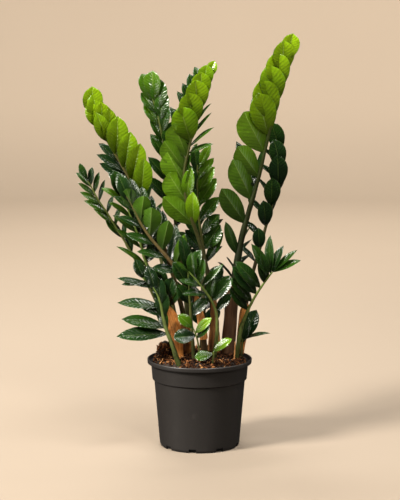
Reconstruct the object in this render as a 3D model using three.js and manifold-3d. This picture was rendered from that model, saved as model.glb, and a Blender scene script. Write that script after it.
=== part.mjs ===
// A ZZ plant in a nursery pot: leafy fronds that stand in bark soil on their rhizome.
// Millimetres, +Z up. The origin is the centre of the pot's flat bottom, and the front is -Y.

import * as THREE from "three";
import Module from "manifold-3d";

const wasm = await Module();
wasm.setup();
const { Manifold, Mesh } = wasm;

// ---------------------------------------------------------------- driving dimensions

const POT = {
  height: 143,
  baseRadius: 63.5,
  wall: 1.6,
  floor: 1.8,
  lipRadius: 85,
  lipHeight: 7,
  neckRadius: 79,
  bandRadius: 76.8,
  bandBottom: 110,
  shoulderRadius: 73.8,
  shoulderHeight: 108,
  cornerRadius: 65,
  cornerHeight: 4,
  notches: 9,
  notchWidth: 12,
  notchHeight: 5,
  notchDepth: 10,
  notchTurn: 29.6,
};
const ROUND_STEPS = 36;
const SOIL_STEPS = 18;
const GAP = 0.35;

const SOIL = {
  edgeHeight: 133,
  crown: 18,
  crownPower: 8,
  clump: [-57, -4],
  clumpHeight: 25,
  clumpSpread: 16,
  chips: 16,
};

const BLADE_THICKNESS = 0.8;
const PETIOLE_HALF_WIDTH = 1.3;
const BLADE_ROWS = [0, 0.33, 0.7];
const STEM_SIDES = 6;
const STEM_STEPS = 9;
const BURIED_LENGTH = 46;
const SMOOTHING = [0.4, 0.36, 0.44, 0.32, 0.48, 0.28];
const CORNER_GRID = 0.002;
const SOIL_SMOOTHING = 0.06;

const COLOURS = {
  pot: 0x33302f,
  soil: 0x4a2c1a,
  rhizome: 0x9a7a52,
  dark: 0x163f1c,
  green: 0x2c5f1f,
  bright: 0x6f9c1e,
  pale: 0x527a33,
  sheath: 0xa9602c,
};

// ---------------------------------------------------------------- fronds
// Each frond has a stem and ranks of leaflets. The path is the stem's centre line from the
// soil to its tip, and radius is the stem's at 0, 12, 35, 60 and 100 percent of its length.
// A rank has its count, where it starts and ends on the stem (0 to 1), the leaflets' length,
// their width as a share of it, how far they open from the stem at the first and the last
// leaflet (degrees), the way that they point from the stem and the way that they face.

const FRONDS = {
  right_tall: {
    seed: 1,
    colour: "green",
    path: [
      [46, 0, 150],
      [50, 0, 209],
      [54, -2, 255],
      [61, -4, 301],
      [67, -6, 337],
      [74, -8, 366],
      [84, -10, 402],
      [95, -12, 442],
      [104, -15, 482],
      [113, -17, 522],
      [122, -19, 561],
      [130, -21, 599],
      [138, -23, 630],
    ],
    radius: [8.8, 7.7, 5.4, 3.1, 1.3],
    ranks: [
      {
        out: [-1, -0.5, 0],
        face: [-0.3, 0.9, 0.1],
        leaves: [
          [0.33, 34, 66, 0.27],
        ],
      },
      {
        out: [-1, -0.45, 0],
        face: [-0.3, 0.9, 0.1],
        bend: -0.06,
        leaves: [
          [0.44, 51, 80, 0.42],
          [0.52, 44, 81, 0.45],
          [0.6, 52, 68, 0.54],
          [0.68, 42, 82, 0.58],
        ],
      },
      {
        out: [-1, -0.45, 0],
        face: [0.2, -0.9, 0.3],
        bend: 0.05,
        leaves: [
          [0.74, 32, 73, 0.64],
          [0.79, 33, 70, 0.66],
          [0.84, 27, 66, 0.66],
          [0.89, 21, 60, 0.68],
          [0.94, 16, 54, 0.7],
          [0.985, 2, 44, 0.66],
        ],
      },
      {
        out: [-1, 0.5, 0],
        face: [0.3, -0.9, 0.3],
        leaves: [
          [0.56, 40, 84, 0.3],
          [0.71, 31, 80, 0.32],
          [0.81, 27, 66, 0.36],
        ],
      },
      {
        out: [[-0.2, 1, 0], [0.4, 0.9, 0]],
        face: [-0.9, -0.3, 0.2],
        count: 6,
        from: 0.5,
        to: 0.96,
        length: 70,
        width: 0.5,
        open: [34, 14],
      },
    ],
  },
  right_dark: {
    seed: 2,
    colour: "dark",
    path: [
      [66, 20, 150],
      [77, 25, 234],
      [89, 30, 286],
      [100, 33, 324],
      [110, 36, 361],
      [121, 40, 397],
      [130, 43, 424],
      [133, 46, 461],
      [130, 48, 489],
      [120, 50, 508],
    ],
    radius: [4.6, 3.8, 3, 2.4, 1.3],
    ranks: [
      {
        out: [-1, 0.1, 0],
        face: [0.5, -0.35, 1],
        count: 7,
        from: 0.4,
        to: 0.93,
        length: 54,
        width: 0.4,
        open: [58, 50],
      },
      {
        out: [-0.8, -1, 0],
        face: [0.1, -1, 0.2],
        sizes: [0.9, 1.35],
        count: 7,
        from: 0.46,
        to: 0.985,
        length: 54,
        width: 0.56,
        open: [34, 20],
      },
      {
        out: [0.2, 1, 0],
        face: [1, -0.2, 0.1],
        count: 5,
        from: 0.62,
        to: 0.95,
        length: 48,
        width: 0.5,
        open: [18, 12],
      },
    ],
  },
  right_low: {
    seed: 3,
    colour: "dark",
    path: [
      [60, -15, 150],
      [67, -20, 196],
      [76, -27, 223],
      [87, -35, 247],
      [98, -42, 266],
      [108, -50, 282],
      [115, -54, 292],
    ],
    radius: [4.2, 3.8, 3, 2.2, 1.2],
    ranks: [
      {
        out: [-1, -0.1, 0.3],
        face: [0.2, -1, 0.8],
        leaves: [
          [0.5, 58, 50, 0.38],
          [0.6, 61, 56, 0.38],
          [0.7, 66, 62, 0.38],
          [0.78, 68, 62, 0.36],
          [0.85, 34, 54, 0.38],
          [0.94, 56, 64, 0.3],
        ],
      },
      {
        out: [1, -0.5, 0.2],
        face: [-0.5, -0.8, 0.8],
        leaves: [
          [0.97, -42, 62, 0.28],
          [1, -18, 46, 0.36],
          [1, 8, 56, 0.26],
          [1, 24, 52, 0.3],
        ],
      },
    ],
  },
  centre_tall: {
    seed: 4,
    colour: "bright",
    path: [
      [18, -8, 150],
      [22, -10, 207],
      [17, -14, 254],
      [9, -18, 303],
      [-3, -22, 345],
      [-16, -28, 384],
      [-24, -29, 420],
      [-24, -30, 451],
      [-17, -33, 485],
      [-9, -36, 518],
      [-1, -38, 548],
      [8, -41, 580],
      [14, -42, 602],
    ],
    radius: [5.2, 4.6, 3.4, 2.6, 1.3],
    ranks: [
      {
        out: [-1, -0.4, 0],
        face: [-0.2, 1, 0.1],
        leaves: [
          [0.47, 27, 72, 0.46],
          [0.55, 19, 58, 0.74],
          [0.62, 27, 58, 0.74],
          [0.665, 42, 60, 0.62],
          [0.71, 35, 62, 0.68],
        ],
      },
      {
        out: [-1, -0.4, 0],
        face: [0.15, -1, 0.3],
        bend: 0.05,
        leaves: [
          [0.765, 32, 61, 0.7],
          [0.82, 29, 56, 0.72],
          [0.87, 23, 52, 0.72],
          [0.91, 18, 46, 0.68],
          [0.95, 13, 38, 0.66],
          [0.985, -8, 30, 0.56],
        ],
      },
      {
        out: [-1, 0.5, 0],
        face: [0.4, -0.8, 0.3],
        leaves: [
          [0.75, 42, 70, 0.36],
          [0.83, 46, 60, 0.36],
          [0.86, 44, 56, 0.4],
          [0.89, 38, 54, 0.44],
          [0.93, 32, 46, 0.46],
        ],
      },
      {
        out: [1, -0.1, 0],
        face: [-0.6, -0.4, 0.6],
        leaves: [
          [0.6, 16, 58, 0.3],
          [0.72, 50, 44, 0.32],
          [0.745, 34, 50, 0.26],
          [0.78, 24, 50, 0.26],
          [0.82, 18, 44, 0.28],
        ],
      },
      {
        out: [1, -0.6, 0],
        face: [-0.2, -0.9, 0.3],
        leaves: [
          [0.47, 20, 56, 0.44],
          [0.56, 22, 54, 0.4],
        ],
      },
    ],
  },
  centre_back: {
    seed: 5,
    colour: "green",
    path: [
      [-12, 10, 150],
      [-20, 14, 219],
      [-28, 18, 285],
      [-36, 22, 341],
      [-44, 26, 398],
      [-52, 28, 447],
      [-58, 30, 487],
      [-64, 32, 519],
      [-70, 34, 545],
      [-78, 36, 566],
    ],
    radius: [5.6, 4.8, 3.4, 2.6, 1.3],
    ranks: [
      {
        out: [-1, -0.2, 0],
        face: [0.3, -0.8, 0.5],
        leaves: [
          [0.58, 36, 60, 0.4],
          [0.66, 28, 54, 0.4],
          [0.75, 22, 48, 0.42],
          [0.82, 16, 44, 0.46],
          [0.88, 24, 44, 0.52],
          [0.93, 26, 42, 0.52],
          [0.975, 0, 49, 0.62],
        ],
      },
      {
        out: [1, -0.3, 0],
        face: [-0.3, -1, 0.4],
        leaves: [
          [0.62, 26, 54, 0.44],
          [0.7, 26, 54, 0.44],
          [0.78, 24, 52, 0.46],
          [0.85, 22, 50, 0.46],
          [0.9, 24, 48, 0.52],
          [0.94, 24, 50, 0.6],
          [0.98, 22, 48, 0.62],
        ],
      },
      {
        out: [-1, -0.3, 0],
        face: [0.2, -1, 0.3],
        leaves: [
          [0.2, 34, 48, 0.46],
          [0.31, 38, 52, 0.44],
          [0.43, 36, 54, 0.44],
        ],
      },
      {
        out: [1, -0.3, 0],
        face: [-0.2, -1, 0.3],
        leaves: [
          [0.25, 36, 48, 0.46],
          [0.37, 34, 52, 0.44],
          [0.49, 30, 52, 0.44],
        ],
      },
    ],
  },
  left_bright: {
    seed: 6,
    colour: "bright",
    path: [
      [-18, -4, 150],
      [-25, -8, 207],
      [-36, -14, 257],
      [-51, -20, 310],
      [-68, -24, 358],
      [-90, -27, 403],
      [-115, -30, 445],
      [-135, -32, 480],
      [-153, -34, 510],
      [-170, -36, 540],
    ],
    radius: [5, 4.4, 3.4, 2.6, 1.3],
    ranks: [
      {
        out: [1, -0.3, 0.3],
        face: [0.2, -1, 0.4],
        bend: 0.04,
        leaves: [
          [0.64, 37, 66, 0.46],
          [0.71, 46, 66, 0.46],
          [0.76, 41, 64, 0.5],
          [0.82, 35, 65, 0.54],
          [0.865, 32, 62, 0.42],
          [0.91, 28, 54, 0.54],
          [0.955, 24, 50, 0.56],
          [0.985, 28, 50, 0.64],
        ],
      },
      {
        out: [-1, 0.2, 0],
        face: [0.4, -0.5, 1],
        leaves: [
          [0.62, 34, 52, 0.36],
          [0.665, 28, 55, 0.36],
          [0.71, 29, 58, 0.34],
          [0.75, 26, 54, 0.34],
          [0.79, 18, 46, 0.38],
        ],
      },
      {
        out: [0.6, -1, 0],
        face: [0.1, -1, 0.3],
        leaves: [
          [0.88, 24, 52, 0.46],
          [0.94, 14, 44, 0.56],
        ],
      },
    ],
  },
  left_tan: {
    seed: 7,
    colour: "green",
    path: [
      [9, -24, 150],
      [3, -29, 202],
      [-8, -36, 249],
      [-21, -42, 277],
      [-40, -47, 301],
      [-59, -51, 324],
      [-77, -54, 346],
      [-91, -56, 367],
      [-103, -57, 391],
      [-115, -58, 413],
    ],
    radius: [5.6, 5.2, 4, 2.8, 1.2],
    ranks: [
      {
        out: [0.6, -0.1, 1],
        face: [-0.2, 0.9, 0.1],
        leaves: [
          [0.54, 56, 56, 0.32],
          [0.65, 50, 52, 0.5],
          [0.75, 40, 48, 0.72],
          [0.84, 34, 44, 0.66],
          [0.93, 10, 32, 0.72],
        ],
      },
      {
        out: [1, 0.6, 0.6],
        face: [0.1, -0.8, 0.8],
        leaves: [
          [0.58, 54, 60, 0.34],
          [0.67, 50, 62, 0.34],
          [0.74, 55, 54, 0.38],
          [0.79, 48, 58, 0.38],
          [0.85, 34, 56, 0.4],
          [0.91, 22, 52, 0.44],
          [0.96, 8, 50, 0.46],
        ],
      },
      {
        out: [-1, 0.1, -0.5],
        face: [0.4, -0.7, 1],
        leaves: [
          [0.5, 38, 46, 0.44],
          [0.6, 34, 50, 0.4],
          [0.7, 30, 50, 0.4],
          [0.8, 28, 46, 0.42],
          [0.9, 24, 42, 0.42],
        ],
      },
    ],
  },
  left_pale: {
    seed: 8,
    colour: "pale",
    path: [
      [-34, -26, 150],
      [-39, -26, 194],
      [-46, -27, 226],
      [-59, -28, 256],
      [-78, -29, 288],
      [-88, -30, 311],
      [-93, -32, 332],
      [-99, -34, 353],
      [-109, -37, 380],
      [-120, -40, 404],
      [-130, -43, 423],
    ],
    radius: [4.6, 4.2, 3.2, 2.4, 1.2],
    ranks: [
      {
        out: [-1, -0.3, 0],
        face: [0.2, -0.6, 1],
        leaves: [
          [0.53, 25, 62, 0.24],
          [0.64, 37, 54, 0.28],
          [0.73, 32, 50, 0.34],
          [0.82, 30, 46, 0.34],
          [0.92, 28, 42, 0.38],
        ],
      },
      {
        out: [-1, -0.5, 0.2],
        face: [0, -0.8, 0.7],
        leaves: [
          [0.37, 11, 50, 0.56],
          [0.35, -15, 50, 0.44],
        ],
      },
      {
        out: [1, -0.9, 0.2],
        face: [-0.1, -0.9, 0.4],
        leaves: [
          [0.29, 53, 48, 0.4],
          [0.32, 44, 46, 0.54],
        ],
      },
      {
        out: [1, -0.1, 0.4],
        face: [0.1, -1, 0.5],
        leaves: [
          [0.56, 50, 52, 0.44],
          [0.64, 39, 54, 0.44],
          [0.72, 38, 54, 0.44],
          [0.8, 34, 50, 0.46],
          [0.88, 26, 46, 0.48],
          [0.95, 14, 44, 0.52],
        ],
      },
    ],
  },
  left_outer: {
    seed: 9,
    colour: "pale",
    path: [
      [-37, 4, 150],
      [-52, 0, 198],
      [-72, -6, 242],
      [-91, -9, 280],
      [-107, -12, 313],
      [-121, -14, 338],
      [-134, -16, 359],
      [-148, -18, 383],
      [-162, -20, 404],
      [-171, -21, 422],
      [-178, -22, 434],
    ],
    radius: [4.4, 3.8, 2.8, 2, 1.1],
    ranks: [
      {
        out: [-1, -0.3, 0],
        face: [0.1, -0.7, 0.9],
        leaves: [
          [0.66, 10, 42, 0.42],
          [0.74, 18, 42, 0.38],
          [0.81, 26, 42, 0.36],
          [0.86, 22, 40, 0.34],
          [0.91, 24, 36, 0.36],
          [0.96, 14, 34, 0.4],
        ],
      },
      {
        out: [1, 0, 0.4],
        face: [-0.5, -0.7, 0.3],
        leaves: [
          [0.57, 16, 34, 0.56],
          [0.65, 34, 36, 0.3],
          [0.73, 42, 36, 0.3],
          [0.81, 50, 30, 0.32],
          [0.88, 46, 36, 0.28],
          [0.93, 38, 34, 0.34],
          [0.97, 34, 30, 0.42],
          [1, 6, 30, 0.44],
        ],
      },
    ],
  },
  low_left: {
    seed: 10,
    colour: "dark",
    path: [
      [-35, -56, 150],
      [-44, -54, 176],
      [-52, -50, 196],
      [-58, -47, 218],
      [-63, -45, 242],
      [-71, -44, 261],
      [-82, -43, 274],
      [-93, -42, 283],
    ],
    radius: [4.4, 3.8, 3, 2.2, 1.2],
    ranks: [
      {
        out: [-1, 0, 0],
        face: [0.1, -0.7, 0.8],
        leaves: [
          [0.3, 70, 82, 0.34],
          [0.37, 60, 72, 0.34],
          [0.5, 50, 42, 0.4],
          [0.6, 71, 70, 0.3],
          [0.82, 36, 60, 0.24],
          [0.91, 48, 42, 0.28],
        ],
      },
      {
        out: [1, -0.2, 0.2],
        face: [-0.1, -1, 0.6],
        leaves: [
          [0.33, 2, 50, 0.34],
          [0.47, 9, 49, 0.48],
          [0.62, 8, 45, 0.48],
          [0.78, 14, 43, 0.48],
          [0.96, 28, 34, 0.52],
        ],
      },
    ],
  },
  front_arc: {
    seed: 11,
    colour: "dark",
    path: [
      [23, -38, 150],
      [28, -42, 197],
      [26, -47, 227],
      [18, -52, 247],
      [7, -57, 264],
      [-4, -61, 279],
      [-17, -65, 294],
    ],
    radius: [4, 3.4, 2.6, 2, 1.1],
    ranks: [
      {
        out: [1, 0, 0.6],
        face: [-0.3, -0.9, 0.5],
        leaves: [
          [0.49, 50, 38, 0.42],
          [0.61, 66, 50, 0.46],
          [0.64, 30, 42, 0.36],
          [0.8, 78, 50, 0.24],
          [0.84, 44, 40, 0.42],
          [0.93, 34, 40, 0.42],
        ],
      },
      {
        out: [-1, -0.4, -0.5],
        face: [0.4, -0.6, 1],
        leaves: [
          [0.7, 46, 42, 0.4],
          [0.8, 34, 40, 0.38],
          [0.97, 6, 34, 0.34],
        ],
      },
    ],
  },
  baby_front: {
    seed: 12,
    colour: "green",
    path: [
      [1, -56, 146],
      [-2, -57, 176],
      [-6, -58, 192],
      [-10, -58, 203],
    ],
    radius: [2, 1.8, 1.6, 1.4, 1],
    ranks: [
      {
        out: [-1, -0.2, 0],
        face: [0.2, -1, 0.6],
        leaves: [
          [0.78, 76, 36, 0.68],
          [1, 28, 32, 0.58],
        ],
      },
      {
        out: [1, -0.2, 0],
        face: [-0.2, -1, 0.6],
        leaves: [
          [0.7, 58, 30, 0.46],
          [0.84, 60, 37, 0.42],
        ],
      },
    ],
  },
  centre_right: {
    seed: 13,
    colour: "dark",
    path: [
      [27, 8, 150],
      [23, 7, 220],
      [18, 5, 265],
      [10, 3, 300],
      [4, 1, 336],
      [-1, -1, 369],
      [-3, -3, 401],
      [-4, -6, 433],
      [-3, -8, 461],
    ],
    radius: [4.8, 4.2, 3, 2.2, 1.2],
    ranks: [
      {
        out: [1, -0.3, 0],
        face: [-0.2, -1, 0.5],
        leaves: [
          [0.3, 46, 46, 0.4],
          [0.48, 40, 58, 0.3],
          [0.55, 42, 50, 0.64],
          [0.63, 50, 46, 0.46],
          [0.7, 44, 52, 0.42],
          [0.78, 36, 54, 0.46],
          [0.85, 34, 50, 0.46],
          [0.91, 34, 46, 0.36],
          [0.97, 26, 44, 0.38],
        ],
      },
      {
        out: [-1, -0.3, 0],
        face: [0.2, -1, 0.5],
        leaves: [
          [0.44, 30, 50, 0.48],
          [0.52, 26, 52, 0.46],
          [0.61, 24, 52, 0.44],
          [0.69, 20, 50, 0.44],
          [0.77, 20, 48, 0.44],
          [0.86, 20, 46, 0.42],
          [0.95, 10, 44, 0.4],
        ],
      },
    ],
  },
  right_back_low: {
    seed: 14,
    colour: "dark",
    path: [
      [68, 3, 146],
      [69, 3, 160],
      [70, 2, 174],
    ],
    radius: [2.6, 2.4, 2, 1.7, 1.1],
    ranks: [
      {
        out: [1, 0.5, 0],
        face: [-0.4, -0.9, 0.2],
        leaves: [
          [0.7, 6, 46, 0.46],
          [0.92, 24, 54, 0.5],
        ],
      },
      {
        out: [1, -0.1, 0],
        face: [-0.3, -0.2, 1],
        leaves: [
          [0.95, 66, 46, 0.34],
        ],
      },
    ],
  },
  centre_low: {
    seed: 15,
    colour: "dark",
    path: [
      [-9, -42, 150],
      [-12, -44, 192],
      [-15, -49, 236],
      [-17, -53, 268],
      [-18, -57, 298],
    ],
    radius: [3.4, 3, 2.4, 1.9, 1.1],
    ranks: [
      {
        out: [1, -0.2, 0],
        face: [-0.2, -1, 0.5],
        leaves: [
          [0.48, 44, 38, 0.54],
          [0.72, 20, 42, 0.44],
          [0.9, 24, 50, 0.44],
        ],
      },
      {
        out: [-1, -0.2, 0],
        face: [0.2, -1, 0.5],
        leaves: [
          [0.61, 28, 38, 0.54],
          [0.8, 28, 48, 0.46],
          [0.98, 10, 58, 0.34],
        ],
      },
    ],
  },
  baby_edge: {
    seed: 16,
    colour: "bright",
    path: [
      [20, -62, 142],
      [21, -63, 155],
      [22, -64, 166],
    ],
    radius: [1.7, 1.6, 1.5, 1.4, 1],
    ranks: [
      {
        out: [-1, -0.1, 0],
        face: [0.1, -0.8, 0.7],
        leaves: [
          [0.85, 106, 30, 0.6],
        ],
      },
      {
        out: [1, -0.1, 0],
        face: [-0.2, -0.8, 0.7],
        leaves: [
          [1, 44, 36, 0.46],
        ],
      },
    ],
  },
  back_left: {
    seed: 17,
    colour: "dark",
    path: [
      [-30, 30, 150],
      [-42, 42, 210],
      [-57, 56, 270],
      [-74, 70, 330],
      [-93, 84, 385],
      [-110, 96, 430],
    ],
    radius: [5, 4.4, 3.2, 2.4, 1.2],
    ranks: [
      {
        out: [-1, 0, 0],
        face: [0.3, 0.4, 1],
        count: 6,
        from: 0.42,
        to: 0.98,
        length: 60,
        width: 0.48,
        open: [50, 20],
      },
      {
        out: [1, 0.6, 0],
        face: [-0.3, 0.4, 1],
        count: 6,
        from: 0.44,
        to: 1,
        length: 60,
        width: 0.48,
        open: [50, 18],
      },
    ],
  },
  back_centre: {
    seed: 18,
    colour: "green",
    path: [
      [5, 38, 150],
      [6, 54, 220],
      [4, 72, 290],
      [0, 90, 350],
      [-6, 110, 405],
      [-12, 130, 450],
    ],
    radius: [5.2, 4.6, 3.4, 2.6, 1.2],
    ranks: [
      {
        out: [-1, -0.2, 0],
        face: [0.2, -1, 0.3],
        leaves: [
          [0.12, 34, 46, 0.52],
          [0.22, 40, 50, 0.5],
          [0.33, 38, 54, 0.48],
        ],
      },
      {
        out: [1, -0.2, 0],
        face: [-0.2, -1, 0.3],
        leaves: [
          [0.1, 34, 46, 0.52],
          [0.2, 30, 46, 0.5],
          [0.3, 38, 54, 0.48],
        ],
      },
      {
        out: [-1, 0, 0],
        face: [0.3, 0.6, 1],
        count: 8,
        from: 0.42,
        to: 0.98,
        length: 62,
        width: 0.5,
        open: [50, 18],
      },
      {
        out: [1, 0, 0],
        face: [-0.3, 0.6, 1],
        count: 7,
        from: 0.44,
        to: 1,
        length: 62,
        width: 0.5,
        open: [50, 16],
      },
    ],
  },
  back_right: {
    seed: 19,
    colour: "dark",
    path: [
      [42, 34, 150],
      [49, 49, 205],
      [57, 66, 255],
      [65, 84, 300],
      [71, 101, 335],
    ],
    radius: [4.6, 4, 3, 2.2, 1.2],
    ranks: [
      {
        out: [-1, 0.2, 0],
        face: [0.3, 0.4, 1],
        count: 4,
        from: 0.4,
        to: 0.66,
        length: 54,
        width: 0.46,
        open: [52, 40],
      },
      {
        out: [0.6, 0.8, 0],
        face: [-0.3, 0.3, 1],
        count: 6,
        from: 0.42,
        to: 1,
        length: 54,
        width: 0.46,
        open: [50, 18],
      },
    ],
  },
};

// ---------------------------------------------------------------- small helpers

function vector(v) {
  return new THREE.Vector3(v[0], v[1], v[2]);
}

// Unit vector along v after its part along the axis is taken away.
function across(v, axis) {
  return v.clone().addScaledVector(axis, -v.dot(axis)).normalize();
}

// Seeded draw between 0 and 1.
function draw(key) {
  const f = Math.sin(key * 127.1 + 311.7) * 43758.5453;
  return f - Math.floor(f);
}

function blend(a, b, u) {
  return a * (1 - u) + b * u;
}

// One direction, or one for each end of a rank.
function direction(v, u) {
  if (Array.isArray(v[0])) {
    return vector(v[0]).multiplyScalar(1 - u).addScaledVector(vector(v[1]), u);
  }
  return vector(v);
}

function toManifold(points, faces) {
  const mesh = new Mesh({
    numProp: 3,
    vertProperties: Float32Array.from(points.flatMap((p) => [p.x, p.y, p.z])),
    triVerts: Uint32Array.from(faces.flat()),
  });
  mesh.merge();
  return new Manifold(mesh);
}

// The biggest connected body, without specks that a join can leave.
function largest(body) {
  return body.decompose().sort((a, b) => b.volume() - a.volume())[0];
}

// Says whether all of a body's corners stand clearly apart from each other.
function cornersApart(body) {
  const raw = body.getMesh();
  for (const shift of [0, 0.5]) {
    const cells = new Set();
    for (let i = 0; i < raw.vertProperties.length; i += 3) {
      const cell = [0, 1, 2].map((k) => Math.round(raw.vertProperties[i + k] / CORNER_GRID + shift));
      cells.add(cell.join());
    }
    if (cells.size < raw.vertProperties.length / 3) {
      return false;
    }
  }
  return true;
}

// The joined body with needless small faces taken out, and no two corners that nearly touch.
function simplified(body) {
  const whole = body.asOriginal();
  for (const tolerance of SMOOTHING) {
    const found = largest(whole.simplify(tolerance));
    if (cornersApart(found)) {
      return found;
    }
  }
  return largest(whole);
}

function toMesh(name, body, colour, roughness, metalness = 0) {
  const raw = body.getMesh();
  const geometry = new THREE.BufferGeometry();
  geometry.setAttribute("position", new THREE.BufferAttribute(Float32Array.from(raw.vertProperties), 3));
  geometry.setIndex(new THREE.BufferAttribute(Uint32Array.from(raw.triVerts), 1));
  geometry.computeVertexNormals();
  const material = new THREE.MeshStandardMaterial({ color: colour, roughness, metalness });
  const mesh = new THREE.Mesh(geometry, material);
  mesh.name = name;
  return mesh;
}

// ---------------------------------------------------------------- curved paths

const PATH_STEPS = 96;
const SPAN_STEPS = 12;
const TANGENT_REACH = 0.015;

function curvePoint(a, b, c, d, t) {
  const p = new THREE.Vector3();
  for (const axis of ["x", "y", "z"]) {
    const linear = (c[axis] - a[axis]) * t;
    const square = (2 * a[axis] - 5 * b[axis] + 4 * c[axis] - d[axis]) * t * t;
    const cube = (3 * b[axis] - a[axis] - 3 * c[axis] + d[axis]) * t ** 3;
    p[axis] = 0.5 * (2 * b[axis] + linear + square + cube);
  }
  return p;
}

// A smooth curve through the points, sampled at even steps of its length.
function makePath(given) {
  const points = given.map(vector);
  const last = points.length - 1;
  const before = points[0].clone().multiplyScalar(2).sub(points[1]);
  const after = points[last].clone().multiplyScalar(2).sub(points[last - 1]);
  const knots = [before, ...points, after];
  const dense = [];
  for (let i = 1; i < knots.length - 2; i += 1) {
    for (let k = 0; k < SPAN_STEPS; k += 1) {
      dense.push(curvePoint(knots[i - 1], knots[i], knots[i + 1], knots[i + 2], k / SPAN_STEPS));
    }
  }
  dense.push(points[last].clone());
  const reach = [0];
  for (let i = 1; i < dense.length; i += 1) {
    reach.push(reach[i - 1] + dense[i].distanceTo(dense[i - 1]));
  }
  const total = reach[reach.length - 1];
  const even = [];
  let span = 0;
  for (let k = 0; k <= PATH_STEPS; k += 1) {
    const wanted = (total * k) / PATH_STEPS;
    while (span < dense.length - 2 && reach[span + 1] < wanted) {
      span += 1;
    }
    const share = (wanted - reach[span]) / (reach[span + 1] - reach[span]);
    even.push(dense[span].clone().lerp(dense[span + 1], Math.min(share, 1)));
  }
  return even;
}

// A point on the path, or on its straight run below the first point.
function pathAt(path, t) {
  if (t < 0) {
    return path[0].clone().addScaledVector(path[1].clone().sub(path[0]), t * PATH_STEPS);
  }
  const f = Math.min(t, 1) * PATH_STEPS;
  const i = Math.min(Math.floor(f), PATH_STEPS - 1);
  return path[i].clone().lerp(path[i + 1], f - i);
}

function tangentAt(path, t) {
  const ahead = pathAt(path, Math.min(t + TANGENT_REACH, 1));
  const behind = pathAt(path, t < 0 ? t : Math.max(t - TANGENT_REACH, 0));
  return ahead.sub(behind).normalize();
}

const RADIUS_STOPS = [0, 0.12, 0.35, 0.6, 1];

function radiusAt(radii, t) {
  let i = 0;
  while (i < RADIUS_STOPS.length - 2 && RADIUS_STOPS[i + 1] < t) {
    i += 1;
  }
  const share = (t - RADIUS_STOPS[i]) / (RADIUS_STOPS[i + 1] - RADIUS_STOPS[i]);
  return blend(radii[i], radii[i + 1], Math.min(Math.max(share, 0), 1));
}

// ---------------------------------------------------------------- stems and leaflets

// Closed tube through rings of equal count. Each ring has a centre, a direction and a radius.
function tube(rings, sides) {
  const points = [];
  const faces = [];
  for (const ring of rings) {
    const right = across(new THREE.Vector3(0, 1, 0), ring.along);
    const up = ring.along.clone().cross(right);
    for (let k = 0; k < sides; k += 1) {
      const angle = (2 * Math.PI * k) / sides;
      const p = ring.centre.clone();
      p.addScaledVector(right, ring.radius * Math.cos(angle));
      p.addScaledVector(up, ring.radius * Math.sin(angle));
      points.push(p);
    }
  }
  for (let i = 0; i < rings.length - 1; i += 1) {
    for (let k = 0; k < sides; k += 1) {
      const a = i * sides + k;
      const b = i * sides + ((k + 1) % sides);
      faces.push([a, b, b + sides], [a, b + sides, a + sides]);
    }
  }
  const top = (rings.length - 1) * sides;
  for (let k = 1; k < sides - 1; k += 1) {
    faces.push([0, k + 1, k], [top, top + k, top + k + 1]);
  }
  return toManifold(points, faces);
}

function stemRings(frond, path, grow) {
  const rings = [];
  const down = tangentAt(path, 0);
  const foot = frond.buried ?? BURIED_LENGTH;
  const low = path[0].clone().addScaledVector(down, -foot);
  rings.push({ centre: low, along: down, radius: frond.radius[0] + grow });
  for (let i = 0; i <= STEM_STEPS; i += 1) {
    const t = i / STEM_STEPS;
    const radius = radiusAt(frond.radius, t) + grow;
    rings.push({ centre: pathAt(path, t), along: tangentAt(path, t), radius });
  }
  return rings;
}

// Half the width of a leaflet at a share of its length, 1 where it is widest.
function bladeShape(s, width) {
  const tip = 0.62 + Math.max(0, 0.6 - width) * 0.7;
  const widest = 0.9 / (0.9 + tip);
  return (s ** 0.9 * (1 - s) ** tip) / (widest ** 0.9 * (1 - widest) ** tip);
}

// Where each leaflet of a frond stands, points and faces.
function leafletsOf(frond, path) {
  const made = [];
  frond.ranks.forEach((rank, rankIndex) => {
    const count = rank.leaves?.length ?? rank.count;
    for (let i = 0; i < count; i += 1) {
      const u = i / Math.max(1, count - 1);
      const key = frond.seed * 100 + rankIndex * 37 + i;
      const [t, open, length, width] = rank.leaves?.[i] ?? evenLeaflet(rank, u, key);
      const along = tangentAt(path, t);
      const out = across(direction(rank.out, u), along);
      const angle = THREE.MathUtils.degToRad(open);
      const ahead = along.multiplyScalar(Math.cos(angle)).addScaledVector(out, Math.sin(angle));
      ahead.normalize();
      const loose = new THREE.Vector3(draw(key + 11) - 0.5, draw(key + 23) - 0.5, draw(key + 31) - 0.5);
      const face = across(direction(rank.face, u).addScaledVector(loose, 0.25), ahead);
      made.push({
        base: pathAt(path, t),
        ahead,
        face,
        length,
        width,
        halfWidth: (width * length) / 2,
        bend: rank.bend ?? -0.05,
      });
    }
  });
  return made;
}

// Share along the stem, opening, length and width of a leaflet in an evenly spaced rank.
function evenLeaflet(rank, u, key) {
  const t = rank.from + (rank.to - rank.from) * u ** (rank.pack ?? 0.9);
  const open = blend(rank.open[0], rank.open[1], u) + 7 * (draw(key) - 0.5);
  const taper = 1 - 0.42 * u ** 2.4 - 0.22 * (1 - u) ** 3;
  const scale = taper * (0.95 + 0.1 * draw(key + 5)) * blend(...(rank.sizes ?? [1, 1]), u);
  return [t, open, rank.length * scale, rank.width];
}

function bladePoint(leaf, s, w, lift) {
  const side = leaf.ahead.clone().cross(leaf.face);
  const half = s === 0 ? PETIOLE_HALF_WIDTH : leaf.halfWidth * bladeShape(s, leaf.width);
  const rise = leaf.bend * leaf.length * s * s;
  const p = leaf.base.clone().addScaledVector(leaf.ahead, leaf.length * s);
  return p.addScaledVector(side, half * w).addScaledVector(leaf.face, rise + lift);
}

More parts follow.
